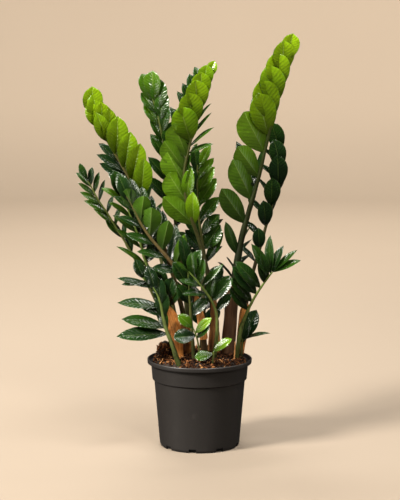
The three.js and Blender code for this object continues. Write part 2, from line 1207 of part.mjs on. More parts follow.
// A leaflet: a blade of even thickness, its stalk end on the stem's centre line.
function blade(leaf) {
  const points = [];
  const faces = [];
  const half = BLADE_THICKNESS / 2;
  for (const lift of [half, -half]) {
    for (const s of BLADE_ROWS) {
      points.push(bladePoint(leaf, s, -1, lift));
      points.push(bladePoint(leaf, s, 1, lift));
    }
    points.push(bladePoint(leaf, 1, 0, lift));
  }
  const tip = BLADE_ROWS.length * 2;
  const under = tip + 1;
  for (let a = 0; a < tip - 2; a += 2) {
    faces.push([a, a + 1, a + 3], [a, a + 3, a + 2]);
    faces.push([a + under, a + 3 + under, a + 1 + under], [a + under, a + 2 + under, a + 3 + under]);
  }
  faces.push([tip - 2, tip - 1, tip], [tip - 2 + under, tip + under, tip - 1 + under]);
  const edge = [];
  for (let a = 1; a < tip; a += 2) {
    edge.push(a);
  }
  edge.push(tip);
  for (let a = tip - 2; a >= 0; a -= 2) {
    edge.push(a);
  }
  edge.forEach((a, i) => {
    const b = edge[(i + 1) % edge.length];
    faces.push([a, a + under, b + under], [a, b + under, b]);
  });
  return toManifold(points, faces);
}

// ---------------------------------------------------------------- pot

// Closed body of revolution from profile points [radius, height], with shared points on the axis.
function revolve(profile, steps, heightAt) {
  const points = [];
  const faces = [];
  const starts = profile.map(([r, z, free]) => {
    const start = points.length;
    const count = r === 0 ? 1 : steps;
    for (let k = 0; k < count; k += 1) {
      const angle = (2 * Math.PI * k) / steps;
      const x = r * Math.cos(angle);
      const y = r * Math.sin(angle);
      points.push(new THREE.Vector3(x, y, free ? heightAt(x, y) : z));
    }
    return start;
  });
  for (let i = 0; i < profile.length; i += 1) {
    const j = (i + 1) % profile.length;
    if (profile[i][0] === 0 && profile[j][0] === 0) {
      continue;
    }
    for (let k = 0; k < steps; k += 1) {
      const next = (k + 1) % steps;
      const a = profile[i][0] === 0 ? starts[i] : starts[i] + k;
      const b = profile[i][0] === 0 ? starts[i] : starts[i] + next;
      const c = profile[j][0] === 0 ? starts[j] : starts[j] + next;
      const d = profile[j][0] === 0 ? starts[j] : starts[j] + k;
      if (a !== b) {
        faces.push([a, b, c]);
      }
      if (c !== d) {
        faces.push([a, c, d]);
      }
    }
  }
  return toManifold(points, faces);
}

const innerWall = [
  [POT.baseRadius - POT.wall, POT.floor],
  [POT.cornerRadius - POT.wall, POT.cornerHeight],
  [POT.shoulderRadius - POT.wall, POT.shoulderHeight - 0.6],
  [POT.bandRadius - POT.wall, POT.bandBottom + 0.6],
  [POT.neckRadius - POT.wall, POT.height - POT.lipHeight - 1.5],
  [POT.lipRadius - 3.6, POT.height - POT.lipHeight + 1.2],
  [POT.lipRadius - 2.2, POT.height],
];

function makePot() {
  const outline = [
    [0, 0],
    [POT.baseRadius, 0],
    [POT.cornerRadius, POT.cornerHeight],
    [POT.shoulderRadius, POT.shoulderHeight],
    [POT.bandRadius, POT.bandBottom],
    [POT.neckRadius, POT.height - POT.lipHeight],
    [POT.lipRadius - 0.5, POT.height - POT.lipHeight],
    [POT.lipRadius, POT.height - 1],
    [POT.lipRadius - 0.8, POT.height],
    ...innerWall.slice().reverse(),
    [0, POT.floor],
  ];
  let pot = revolve(outline, ROUND_STEPS);
  for (let k = 0; k < POT.notches; k += 1) {
    const box = Manifold.cube([POT.notchDepth, POT.notchWidth, POT.notchHeight * 2], true);
    const angle = -90 + POT.notchTurn + (360 / POT.notches) * k;
    pot = pot.subtract(box.translate([POT.baseRadius, 0, 0]).rotate([0, 0, angle]));
  }
  return pot;
}

// ---------------------------------------------------------------- soil, rhizome and sheaths

function soilHeight(x, y) {
  const r = Math.hypot(x, y);
  const limit = POT.neckRadius - POT.wall - GAP;
  const mound = SOIL.crown * (1 - (r / limit) ** SOIL.crownPower);
  const away = Math.hypot(x - SOIL.clump[0], y - SOIL.clump[1]) / SOIL.clumpSpread;
  const clump = SOIL.clumpHeight * Math.exp(-away * away) * Math.min(1, (limit - r) / 10);
  return SOIL.edgeHeight + mound + Math.max(0, clump);
}

// The knotted rhizome under the fronds: flattened lobes grown together.
const LOBES = [
  { at: [-42, -10, 95], radius: [28, 28, 14] },
  { at: [-8, -30, 93], radius: [28, 30, 14] },
  { at: [-8, 22, 94], radius: [32, 26, 14] },
  { at: [26, -20, 94], radius: [28, 34, 14] },
  { at: [42, 12, 95], radius: [25, 30, 14] },
];

function makeRhizome(grow) {
  const lobes = LOBES.map(({ at, radius }) => {
    const size = radius.map((r) => r + grow);
    return Manifold.sphere(1, 8).scale(size).translate(at);
  });
  return Manifold.union(lobes);
}

// A papery scale that wraps one side of a stem and ends in a point.
const SHEATHS = {
  sheath_left: {
    frond: "left_pale",
    from: -0.03,
    to: 0.33,
    turn: -5,
    sweep: 200,
    lean: -30,
    flare: 7,
    slack: 1.6,
  },
  sheath_right_thick: {
    frond: "right_tall",
    from: -0.01,
    to: 0.24,
    turn: -20,
    sweep: 230,
    lean: 20,
    flare: 0.8,
    slack: 0.3,
  },
  sheath_centre: {
    frond: "centre_tall",
    from: -0.01,
    to: 0.22,
    turn: 20,
    sweep: 170,
    lean: 10,
    flare: 1.5,
    slack: 0.4,
  },
  sheath_centre_tan: {
    frond: "centre_right",
    from: -0.01,
    to: 0.2,
    turn: 15,
    sweep: 170,
    lean: 10,
    flare: 1.5,
    slack: 0.4,
  },
  sheath_tan: {
    frond: "left_tan",
    from: 0.1,
    to: 0.36,
    turn: 30,
    sweep: 150,
    lean: 0,
    flare: 1.5,
    slack: 0.2,
  },
  sheath_low_left: {
    frond: "left_bright",
    from: -0.02,
    to: 0.14,
    turn: 0,
    sweep: 190,
    lean: 0,
    flare: 2,
    slack: 0.7,
  },
  sheath_right_small: {
    frond: "right_dark",
    from: -0.01,
    to: 0.22,
    turn: -10,
    sweep: 190,
    lean: 10,
    flare: 4,
    slack: 0.7,
  },
};

const SHEATH_ROWS = [0, 0.3, 0.62, 0.86];
const SHEATH_COLUMNS = 4;
const SHEATH_THICKNESS = 0.9;

// How far a sheath's middle surface stands from the stem's centre line.
function sheathReach(given, frond, t, s) {
  const column = THREE.MathUtils.degToRad(given.sweep / SHEATH_COLUMNS);
  const clear = (radiusAt(frond.radius, t) + GAP + given.slack) / Math.cos(column / 2);
  return clear + SHEATH_THICKNESS / 2 + given.flare * s;
}

function sheath(given, frond, path) {
  const points = [];
  const faces = [];
  const half = SHEATH_THICKNESS / 2;
  for (const lift of [half, -half]) {
    for (const s of [...SHEATH_ROWS, 1]) {
      const t = given.from + (given.to - given.from) * s;
      const along = tangentAt(path, t);
      const right = across(new THREE.Vector3(1, 0, 0), along);
      const front = right.clone().cross(along);
      const reach = sheathReach(given, frond, t, s) + lift;
      const spread = (given.sweep / 2) * Math.sqrt(Math.max(0, 1 - s * s));
      for (let c = 0; c <= SHEATH_COLUMNS; c += 1) {
        const turn = given.turn + given.lean * s + spread * ((2 * c) / SHEATH_COLUMNS - 1);
        const angle = THREE.MathUtils.degToRad(turn);
        const p = pathAt(path, t);
        p.addScaledVector(right, reach * Math.sin(angle));
        p.addScaledVector(front, reach * Math.cos(angle));
        points.push(p);
        if (s === 1) {
          break;
        }
      }
    }
  }
  const rows = SHEATH_ROWS.length;
  const width = SHEATH_COLUMNS + 1;
  const tip = rows * width;
  const under = tip + 1;
  for (let r = 0; r < rows - 1; r += 1) {
    for (let c = 0; c < SHEATH_COLUMNS; c += 1) {
      const a = r * width + c;
      const quad = [a, a + 1, a + 1 + width, a + width];
      faces.push([quad[0], quad[1], quad[2]], [quad[0], quad[2], quad[3]]);
      const low = quad.map((q) => q + under);
      faces.push([low[0], low[2], low[1]], [low[0], low[3], low[2]]);
    }
  }
  const last = (rows - 1) * width;
  for (let c = 0; c < SHEATH_COLUMNS; c += 1) {
    faces.push([last + c, last + c + 1, tip]);
    faces.push([last + c + under, tip + under, last + c + 1 + under]);
  }
  const edge = [];
  for (let r = 0; r < rows; r += 1) {
    edge.push(r * width + SHEATH_COLUMNS);
  }
  edge.push(tip);
  for (let r = rows - 1; r >= 0; r -= 1) {
    edge.push(r * width);
  }
  for (let c = 1; c < SHEATH_COLUMNS; c += 1) {
    edge.push(c);
  }
  edge.forEach((a, i) => {
    const b = edge[(i + 1) % edge.length];
    faces.push([a, a + under, b + under], [a, b + under, b]);
  });
  return toManifold(points, faces);
}

// The round space in the soil around a sheathed stem, from just under the sheath.
function sheathSpace(given, frond, path) {
  const rings = [given.from - 0.006, 0.02, 0.12].map((t) => {
    const s = Math.max(0, (t - given.from) / (given.to - given.from));
    const radius = sheathReach(given, frond, t, s) + SHEATH_THICKNESS / 2 + 2 * GAP;
    return { centre: pathAt(path, t), along: tangentAt(path, t), radius };
  });
  return tube(rings, 12);
}

// Coarse pieces of bark that stand out of the soil, clear of every stem.
function barkChips(stems) {
  const chips = [];
  for (let i = 0; chips.length < SOIL.chips && i < SOIL.chips * 6; i += 1) {
    const angle = 2 * Math.PI * draw(i + 901);
    const r = 70 * Math.sqrt(draw(i + 1301));
    const x = r * Math.cos(angle);
    const y = r * Math.sin(angle);
    const size = [9 + 10 * draw(i + 1701), 5 + 4 * draw(i + 2101), 4 + 3 * draw(i + 2503)];
    const clear = stems.every((s) => Math.hypot(s.x - x, s.y - y) > s.reach + size[0] / 2 + 1);
    if (!clear || r + size[0] / 2 > 74) {
      continue;
    }
    const tilt = [30 * (draw(i + 2903) - 0.5), 30 * (draw(i + 3307) - 0.5), 180 * draw(i + 3701)];
    chips.push(Manifold.cube(size, true).rotate(tilt).translate([x, y, soilHeight(x, y)]));
  }
  return chips;
}

function makeSoil(frondPaths, rhizomeSpace, sheathSpaces) {
  const wall = innerWall.slice(0, 5).map(([r, z], i) => [r - GAP, i === 0 ? z + GAP : z + 0.4]);
  wall[4][1] = SOIL.edgeHeight;
  const rings = [64, 44, 22].map((r) => [r, 0, true]);
  const edge = wall[4][0];
  const profile = [
    [0, POT.floor + GAP],
    ...wall.slice(0, 4),
    [edge, SOIL.edgeHeight],
    [72, 0, true],
    ...rings,
    [0, 0, true],
  ];
  const stems = frondPaths.map(({ frond, path }) => {
    const reach = frond.radius[0] + GAP + 1;
    return { x: path[0].x, y: path[0].y, reach };
  });
  let soil = Manifold.union([revolve(profile, SOIL_STEPS, soilHeight), ...barkChips(stems)]);
  const holes = frondPaths.map(({ frond, path }) => tube(stemRings(frond, path, GAP + 0.05), STEM_SIDES));
  soil = soil.subtract(Manifold.union([...holes, rhizomeSpace, ...sheathSpaces]));
  return soil.asOriginal().simplify(SOIL_SMOOTHING);
}

// ---------------------------------------------------------------- the whole plant

const group = new THREE.Group();
group.name = "potted_zz_plant";

const frondPaths = Object.entries(FRONDS).map(([name, frond]) => {
  return { name, frond, path: makePath(frond.path) };
});
const rhizomeSpace = makeRhizome(GAP);

group.add(toMesh("pot", makePot(), COLOURS.pot, 0.5));
group.add(toMesh("rhizome", makeRhizome(0), COLOURS.rhizome, 0.85));

const sheathSpaces = [];
for (const [name, given] of Object.entries(SHEATHS)) {
  const { frond, path } = frondPaths.find((entry) => entry.name === given.frond);
  group.add(toMesh(name, sheath(given, frond, path), COLOURS.sheath, 0.7));
  if (given.from < 0) {
    sheathSpaces.push(sheathSpace(given, frond, path));
  }
}

group.add(toMesh("soil", makeSoil(frondPaths, rhizomeSpace, sheathSpaces), COLOURS.soil, 0.95));

for (const { name, frond, path } of frondPaths) {
  const stem = tube(stemRings(frond, path, 0), STEM_SIDES).subtract(rhizomeSpace);
  const whole = Manifold.union([stem, ...leafletsOf(frond, path).map(blade)]);
  const body = simplified(whole);
  group.add(toMesh(`frond_${name}`, body, COLOURS[frond.colour], 0.35));
}

export default group;
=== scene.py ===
import math

import bmesh
import bpy
import numpy as np
from mathutils import Euler, Matrix, Vector


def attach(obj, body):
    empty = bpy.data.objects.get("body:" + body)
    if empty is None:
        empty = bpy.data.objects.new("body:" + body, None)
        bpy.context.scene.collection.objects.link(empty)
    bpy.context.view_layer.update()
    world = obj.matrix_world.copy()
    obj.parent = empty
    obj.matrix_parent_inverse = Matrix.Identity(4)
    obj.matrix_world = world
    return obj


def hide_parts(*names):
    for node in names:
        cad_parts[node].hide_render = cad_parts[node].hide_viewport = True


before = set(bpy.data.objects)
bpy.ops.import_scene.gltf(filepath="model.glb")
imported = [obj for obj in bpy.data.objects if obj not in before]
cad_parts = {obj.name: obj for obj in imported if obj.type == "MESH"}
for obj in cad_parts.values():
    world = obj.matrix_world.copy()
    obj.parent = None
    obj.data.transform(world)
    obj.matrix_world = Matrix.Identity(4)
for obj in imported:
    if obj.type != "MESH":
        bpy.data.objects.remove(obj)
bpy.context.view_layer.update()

from types import SimpleNamespace as Numbers

MM = 0.001
CENTRE = 0.01  # the radius at which a turned profile closes

# ---- the plant's numbers, in mm

# As in the CAD, where the notches are 5 high.
POT = Numbers(
    height=143, base=63.5, wall=1.6, floor=1.8, lip=85, lip_height=7, neck=79, band=76.8, band_bottom=110,
    shoulder=73.8, shoulder_height=108, corner=65, corner_height=4, notches=9, notch_width=12,
    notch_height=6.5, notch_depth=10, notch_turn=29.6, rounding=0.7,
)
SOIL = Numbers(edge=133, crown=18, power=8, clump=(-57, -4), clump_height=25, clump_spread=16)
GAP = 0.35
SOIL_LIMIT = POT.neck - POT.wall - GAP
BURIED = 46

# A frond has its slot, its stem's shares of bark brown and light green, its path, its radius at RADIUS_STOPS,
# and ranks of leaflets. A rank has the directions that it grows out to and faces, about 10 long, and the tone
# of its first and last leaflet, from dark (0) to bright (100). A leaflet has its place along the stem in
# percent, its angle from it in degrees, its length, and its width in percent of that. A rank with a count
# spaces its leaflets itself. The shapes are the CAD's, but two ranks, on the low right and the bright left
# frond, face the front more.
FRONDS = {}
FRONDS["right_tall"] = dict(slot="leaf_green", bark=0, light=0, path=[
    (46, 0, 150), (50, 0, 209), (54, -2, 255), (61, -4, 301), (67, -6, 337), (74, -8, 366), (84, -10, 402),
    (95, -12, 442), (104, -15, 482), (113, -17, 522), (122, -19, 561), (130, -21, 599), (138, -23, 630)
], radius=(8.8, 7.7, 5.4, 3.1, 1.3), ranks=[
    dict(out=(-10, -5, 0), face=(-3, 9, 1), tone=(20, 20), leaves=[(33, 34, 66, 27)]),
    dict(out=(-10, -4.5, 0), face=(-3, 9, 1), tone=(35, 90), bend=-0.06, leaves=[
        (44, 51, 80, 42), (52, 44, 81, 45), (60, 52, 68, 54), (68, 42, 82, 58)]),
    dict(out=(-10, -4.5, 0), face=(2, -9, 3), tone=(80, 100), bend=0.05, leaves=[
        (74, 32, 73, 64), (79, 33, 70, 66), (84, 27, 66, 66), (89, 21, 60, 68), (94, 16, 54, 70),
        (98.5, 2, 44, 66)]),
    dict(out=(-10, 5, 0), face=(3, -9, 3), tone=(5, 30), leaves=[
        (56, 40, 84, 30), (71, 31, 80, 32), (81, 27, 66, 36)]),
    dict(out=((-2, 10, 0), (4, 9, 0)), face=(-9, -3, 2), tone=(10, 50),
         count=6, start=50, end=96, length=70, width=50, open=(34, 14)),
])
FRONDS["right_dark"] = dict(slot="leaf_dark", bark=0.2, light=0, path=[
    (66, 20, 150), (77, 25, 234), (89, 30, 286), (100, 33, 324), (110, 36, 361), (121, 40, 397),
    (130, 43, 424), (133, 46, 461), (130, 48, 489), (120, 50, 508)
], radius=(4.6, 3.8, 3, 2.4, 1.3), ranks=[
    dict(out=(-10, 1, 0), face=(5, -3.5, 10), tone=(0, 3),
         count=7, start=40, end=93, length=54, width=40, open=(58, 50)),
    dict(out=(-8, -10, 0), face=(1, -10, 2), tone=(0, 3),
         count=7, start=46, end=98.5, length=54, width=56, open=(34, 20), sizes=(0.9, 1.35)),
    dict(out=(2, 10, 0), face=(10, -2, 1), tone=(0, 3),
         count=5, start=62, end=95, length=48, width=50, open=(18, 12)),
])
FRONDS["right_low"] = dict(slot="leaf_dark", bark=0.1, light=0.9, path=[
    (60, -15, 150), (67, -20, 196), (76, -27, 223), (87, -35, 247), (98, -42, 266), (108, -50, 282),
    (115, -54, 292)
], radius=(4.2, 3.8, 3, 2.2, 1.2), ranks=[
    dict(out=(-10, -1, 3), face=(3, -10, 4), tone=(5, 12), leaves=[
        (50, 58, 50, 38), (60, 61, 56, 38), (70, 66, 62, 38), (78, 68, 62, 36), (85, 34, 54, 38),
        (94, 56, 64, 30)]),
    dict(out=(10, -5, 2), face=(-5, -8, 8), tone=(5, 20), leaves=[
        (97, -42, 62, 28), (100, -18, 46, 36), (100, 8, 56, 26), (100, 24, 52, 30)]),
])
FRONDS["centre_tall"] = dict(slot="leaf_bright", bark=0.2, light=0.1, path=[
    (18, -8, 150), (22, -10, 207), (17, -14, 254), (9, -18, 303), (-3, -22, 345), (-16, -28, 384),
    (-24, -29, 420), (-24, -30, 451), (-17, -33, 485), (-9, -36, 518), (-1, -38, 548), (8, -41, 580),
    (14, -42, 602)
], radius=(5.2, 4.6, 3.4, 2.6, 1.3), ranks=[
    dict(out=(-10, -4, 0), face=(-2, 10, 1), tone=(85, 75), leaves=[
        (47, 27, 72, 46), (55, 19, 58, 74), (62, 27, 58, 74), (66.5, 42, 60, 62), (71, 35, 62, 68)]),
    dict(out=(-10, -4, 0), face=(1.5, -10, 3), tone=(72, 86), bend=0.05, leaves=[
        (76.5, 32, 61, 70), (82, 29, 56, 72), (87, 23, 52, 72), (91, 18, 46, 68), (95, 13, 38, 66),
        (98.5, -8, 30, 56)]),
    dict(out=(-10, 5, 0), face=(4, -8, 3), tone=(3, 20), leaves=[
        (75, 42, 70, 36), (83, 46, 60, 36), (86, 44, 56, 40), (89, 38, 54, 44), (93, 32, 46, 46)]),
    dict(out=(10, -1, 0), face=(-6, -4, 6), tone=(30, 15), leaves=[
        (60, 16, 58, 30), (72, 50, 44, 32), (74.5, 34, 50, 26), (78, 24, 50, 26), (82, 18, 44, 28)]),
    dict(out=(10, -6, 0), face=(-2, -9, 3), tone=(70, 60), leaves=[(47, 20, 56, 44), (56, 22, 54, 40)]),
])
FRONDS["centre_back"] = dict(slot="leaf_green", bark=0.3, light=0.3, path=[
    (-12, 10, 150), (-20, 14, 219), (-28, 18, 285), (-36, 22, 341), (-44, 26, 398), (-52, 28, 447),
    (-58, 30, 487), (-64, 32, 519), (-70, 34, 545), (-78, 36, 566)
], radius=(5.6, 4.8, 3.4, 2.6, 1.3), ranks=[
    dict(out=(-10, -2, 0), face=(3, -8, 5), tone=(14, 42), leaves=[
        (58, 36, 60, 40), (66, 28, 54, 40), (75, 22, 48, 42), (82, 16, 44, 46), (88, 24, 44, 52),
        (93, 26, 42, 52), (97.5, 0, 49, 62)]),
    dict(out=(10, -3, 0), face=(-3, -10, 4), tone=(8, 45), leaves=[
        (62, 26, 54, 44), (70, 26, 54, 44), (78, 24, 52, 46), (85, 22, 50, 46), (90, 24, 48, 52),
        (94, 24, 50, 60), (98, 22, 48, 62)]),
    dict(out=(-10, -3, 0), face=(2, -10, 3), tone=(0, 5), leaves=[
        (20, 34, 48, 46), (31, 38, 52, 44), (43, 36, 54, 44)]),
    dict(out=(10, -3, 0), face=(-2, -10, 3), tone=(0, 5), leaves=[
        (25, 36, 48, 46), (37, 34, 52, 44), (49, 30, 52, 44)]),
])
FRONDS["left_bright"] = dict(slot="leaf_bright", bark=0.8, light=0.6, path=[
    (-18, -4, 150), (-25, -8, 207), (-36, -14, 257), (-51, -20, 310), (-68, -24, 358), (-90, -27, 403),
    (-115, -30, 445), (-135, -32, 480), (-153, -34, 510), (-170, -36, 540)
], radius=(5, 4.4, 3.4, 2.6, 1.3), ranks=[
    dict(out=(10, -3, 3), face=(2, -10, 4), tone=(76, 100), bend=0.04, leaves=[
        (64, 37, 66, 46), (71, 46, 66, 46), (76, 41, 64, 50), (82, 35, 65, 54), (86.5, 32, 62, 42),
        (91, 28, 54, 54), (95.5, 24, 50, 56), (98.5, 28, 50, 64)]),
    dict(out=(-10, 2, 0), face=(3, -9, 6), tone=(2, 10), leaves=[
        (62, 34, 52, 36), (66.5, 28, 55, 36), (71, 29, 58, 34), (75, 26, 54, 34), (79, 18, 46, 38)]),
    dict(out=(6, -10, 0), face=(1, -10, 3), tone=(80, 100), leaves=[(88, 24, 52, 46), (94, 14, 44, 56)]),
])
FRONDS["left_tan"] = dict(slot="leaf_green", bark=1, light=0.5, path=[
    (9, -24, 150), (3, -29, 202), (-8, -36, 249), (-21, -42, 277), (-40, -47, 301), (-59, -51, 324),
    (-77, -54, 346), (-91, -56, 367), (-103, -57, 391), (-115, -58, 413)
], radius=(5.6, 5.2, 4, 2.8, 1.2), ranks=[
    dict(out=(6, -1, 10), face=(-2, 9, 1), tone=(50, 30), leaves=[
        (54, 56, 56, 32), (65, 50, 52, 50), (75, 40, 48, 72), (84, 34, 44, 66), (93, 10, 32, 72)]),
    dict(out=(10, 6, 6), face=(1, -8, 8), tone=(0, 5), leaves=[
        (58, 54, 60, 34), (67, 50, 62, 34), (74, 55, 54, 38), (79, 48, 58, 38), (85, 34, 56, 40),
        (91, 22, 52, 44), (96, 8, 50, 46)]),
    dict(out=(-10, 1, -5), face=(4, -7, 10), tone=(10, 10), leaves=[
        (50, 38, 46, 44), (60, 34, 50, 40), (70, 30, 50, 40), (80, 28, 46, 42), (90, 24, 42, 42)]),
])
FRONDS["left_pale"] = dict(slot="leaf_pale", bark=0.05, light=1, path=[
    (-34, -26, 150), (-39, -26, 194), (-46, -27, 226), (-59, -28, 256), (-78, -29, 288), (-88, -30, 311),
    (-93, -32, 332), (-99, -34, 353), (-109, -37, 380), (-120, -40, 404), (-130, -43, 423)
], radius=(4.6, 4.2, 3.2, 2.4, 1.2), ranks=[
    dict(out=(-10, -3, 0), face=(2, -6, 10), tone=(35, 45), leaves=[
        (53, 25, 62, 24), (64, 37, 54, 28), (73, 32, 50, 34), (82, 30, 46, 34), (92, 28, 42, 38)]),
    dict(out=(-10, -5, 2), face=(0, -8, 7), tone=(0, 3), leaves=[(37, 11, 50, 56), (35, -15, 50, 44)]),
    dict(out=(10, -9, 2), face=(-1, -9, 4), tone=(6, 3), leaves=[(29, 53, 48, 40), (32, 44, 46, 54)]),
    dict(out=(10, -1, 4), face=(1, -10, 5), tone=(0, 5), leaves=[
        (56, 50, 52, 44), (64, 39, 54, 44), (72, 38, 54, 44), (80, 34, 50, 46), (88, 26, 46, 48),
        (95, 14, 44, 52)]),
])
FRONDS["left_outer"] = dict(slot="leaf_pale", bark=0.3, light=0.6, path=[
    (-37, 4, 150), (-52, 0, 198), (-72, -6, 242), (-91, -9, 280), (-107, -12, 313), (-121, -14, 338),
    (-134, -16, 359), (-148, -18, 383), (-162, -20, 404), (-171, -21, 422), (-178, -22, 434)
], radius=(4.4, 3.8, 2.8, 2, 1.1), ranks=[
    dict(out=(-10, -3, 0), face=(1, -7, 9), tone=(32, 30), leaves=[
        (66, 10, 42, 42), (74, 18, 42, 38), (81, 26, 42, 36), (86, 22, 40, 34), (91, 24, 36, 36),
        (96, 14, 34, 40)]),
    dict(out=(10, 0, 4), face=(-5, -7, 3), tone=(2, 5), leaves=[
        (57, 16, 34, 56), (65, 34, 36, 30), (73, 42, 36, 30), (81, 50, 30, 32), (88, 46, 36, 28),
        (93, 38, 34, 34), (97, 34, 30, 42), (100, 6, 30, 44)]),
])
FRONDS["low_left"] = dict(slot="leaf_dark", bark=0.1, light=0.8, path=[
    (-35, -56, 150), (-44, -54, 176), (-52, -50, 196), (-58, -47, 218), (-63, -45, 242), (-71, -44, 261),
    (-82, -43, 274), (-93, -42, 283)
], radius=(4.4, 3.8, 3, 2.2, 1.2), ranks=[
    dict(out=(-10, 0, 0), face=(1, -7, 8), tone=(12, 5), leaves=[
        (30, 70, 82, 34), (37, 60, 72, 34), (50, 50, 42, 40), (60, 71, 70, 30), (82, 36, 60, 24),
        (91, 48, 42, 28)]),
    dict(out=(10, -2, 2), face=(-1, -10, 6), tone=(12, 3), leaves=[
        (33, 2, 50, 34), (47, 9, 49, 48), (62, 8, 45, 48), (78, 14, 43, 48), (96, 28, 34, 52)]),
])
FRONDS["front_arc"] = dict(slot="leaf_dark", bark=0.15, light=1, path=[
    (23, -38, 150), (28, -42, 197), (26, -47, 227), (18, -52, 247), (7, -57, 264), (-4, -61, 279),
    (-17, -65, 294)
], radius=(4, 3.4, 2.6, 2, 1.1), ranks=[
    dict(out=(10, 0, 6), face=(-3, -9, 5), tone=(8, 25), leaves=[
        (49, 50, 38, 42), (61, 66, 50, 46), (64, 30, 42, 36), (80, 78, 50, 24), (84, 44, 40, 42),
        (93, 34, 40, 42)]),
    dict(out=(-10, -4, -5), face=(4, -6, 10), tone=(10, 30), leaves=[
        (70, 46, 42, 40), (80, 34, 40, 38), (97, 6, 34, 34)]),
])
FRONDS["baby_front"] = dict(slot="leaf_green", bark=0.3, light=0.6, path=[
    (1, -56, 146), (-2, -57, 176), (-6, -58, 192), (-10, -58, 203)
], radius=(2, 1.8, 1.6, 1.4, 1), ranks=[
    dict(out=(-10, -2, 0), face=(2, -10, 6), tone=(10, 50), leaves=[(78, 76, 36, 68), (100, 28, 32, 58)]),
    dict(out=(10, -2, 0), face=(-2, -10, 6), tone=(15, 75), leaves=[(70, 58, 30, 46), (84, 60, 37, 42)]),
])
FRONDS["centre_right"] = dict(slot="leaf_dark", bark=0.3, light=0.2, path=[
    (27, 8, 150), (23, 7, 220), (18, 5, 265), (10, 3, 300), (4, 1, 336), (-1, -1, 369), (-3, -3, 401),
    (-4, -6, 433), (-3, -8, 461)
], radius=(4.8, 4.2, 3, 2.2, 1.2), ranks=[
    dict(out=(10, -3, 0), face=(-2, -10, 5), tone=(5, 60), leaves=[
        (30, 46, 46, 40), (48, 40, 58, 30), (55, 42, 50, 64), (63, 50, 46, 46), (70, 44, 52, 42),
        (78, 36, 54, 46), (85, 34, 50, 46), (91, 34, 46, 36), (97, 26, 44, 38)]),
    dict(out=(-10, -3, 0), face=(2, -10, 5), tone=(5, 15), leaves=[
        (44, 30, 50, 48), (52, 26, 52, 46), (61, 24, 52, 44), (69, 20, 50, 44), (77, 20, 48, 44),
        (86, 20, 46, 42), (95, 10, 44, 40)]),
])
FRONDS["right_back_low"] = dict(slot="leaf_dark", bark=0.3, light=0.3, path=[
    (68, 3, 146), (69, 3, 160), (70, 2, 174)
], radius=(2.6, 2.4, 2, 1.7, 1.1), ranks=[
    dict(out=(10, 5, 0), face=(-4, -9, 2), tone=(0, 0), leaves=[(70, 6, 46, 46), (92, 24, 54, 50)]),
    dict(out=(10, -1, 0), face=(-3, -2, 10), tone=(10, 10), leaves=[(95, 66, 46, 34)]),
])
FRONDS["centre_low"] = dict(slot="leaf_dark", bark=0.3, light=0.6, path=[
    (-9, -42, 150), (-12, -44, 192), (-15, -49, 236), (-17, -53, 268), (-18, -57, 298)
], radius=(3.4, 3, 2.4, 1.9, 1.1), ranks=[
    dict(out=(10, -2, 0), face=(-2, -10, 5), tone=(5, 10), leaves=[
        (48, 44, 38, 54), (72, 20, 42, 44), (90, 24, 50, 44)]),
    dict(out=(-10, -2, 0), face=(2, -10, 5), tone=(0, 10), leaves=[
        (61, 28, 38, 54), (80, 28, 48, 46), (98, 10, 58, 34)]),
])
FRONDS["baby_edge"] = dict(slot="leaf_bright", bark=0.3, light=0.8, path=[
    (20, -62, 142), (21, -63, 155), (22, -64, 166)
], radius=(1.7, 1.6, 1.5, 1.4, 1), ranks=[
    dict(out=(-10, -1, 0), face=(1, -8, 7), tone=(40, 40), leaves=[(85, 106, 30, 60)]),
    dict(out=(10, -1, 0), face=(-2, -8, 7), tone=(60, 60), leaves=[(100, 44, 36, 46)]),
])
FRONDS["back_left"] = dict(slot="leaf_dark", bark=0.3, light=0.3, path=[
    (-30, 30, 150), (-42, 42, 210), (-57, 56, 270), (-74, 70, 330), (-93, 84, 385), (-110, 96, 430)
], radius=(5, 4.4, 3.2, 2.4, 1.2), ranks=[
    dict(out=(-10, 0, 0), face=(3, 4, 10), tone=(5, 20),
         count=6, start=42, end=98, length=60, width=48, open=(50, 20)),
    dict(out=(10, 6, 0), face=(-3, 4, 10), tone=(5, 20),
         count=6, start=44, end=100, length=60, width=48, open=(50, 18)),
])
FRONDS["back_centre"] = dict(slot="leaf_green", bark=0.3, light=0.3, path=[
    (5, 38, 150), (6, 54, 220), (4, 72, 290), (0, 90, 350), (-6, 110, 405), (-12, 130, 450)
], radius=(5.2, 4.6, 3.4, 2.6, 1.2), ranks=[
    dict(out=(-10, -2, 0), face=(2, -10, 3), tone=(0, 5), leaves=[
        (12, 34, 46, 52), (22, 40, 50, 50), (33, 38, 54, 48)]),
    dict(out=(10, -2, 0), face=(-2, -10, 3), tone=(0, 5), leaves=[
        (10, 34, 46, 52), (20, 30, 46, 50), (30, 38, 54, 48)]),
    dict(out=(-10, 0, 0), face=(3, 6, 10), tone=(5, 30),
         count=8, start=42, end=98, length=62, width=50, open=(50, 18)),
    dict(out=(10, 0, 0), face=(-3, 6, 10), tone=(5, 30),
         count=7, start=44, end=100, length=62, width=50, open=(50, 16)),
])
FRONDS["back_right"] = dict(slot="leaf_dark", bark=0.3, light=0.2, path=[
    (42, 34, 150), (49, 49, 205), (57, 66, 255), (65, 84, 300), (71, 101, 335)
], radius=(4.6, 4, 3, 2.2, 1.2), ranks=[
    dict(out=(-10, 2, 0), face=(3, 4, 10), tone=(0, 10),
         count=4, start=40, end=66, length=54, width=46, open=(52, 40)),
    dict(out=(6, 8, 0), face=(-3, 3, 10), tone=(0, 10),
         count=6, start=42, end=100, length=54, width=46, open=(50, 18)),
])
RADIUS_STOPS = (0, 0.12, 0.35, 0.6, 1)
for seed, frond in enumerate(FRONDS.values(), 1):
    frond["seed"] = seed

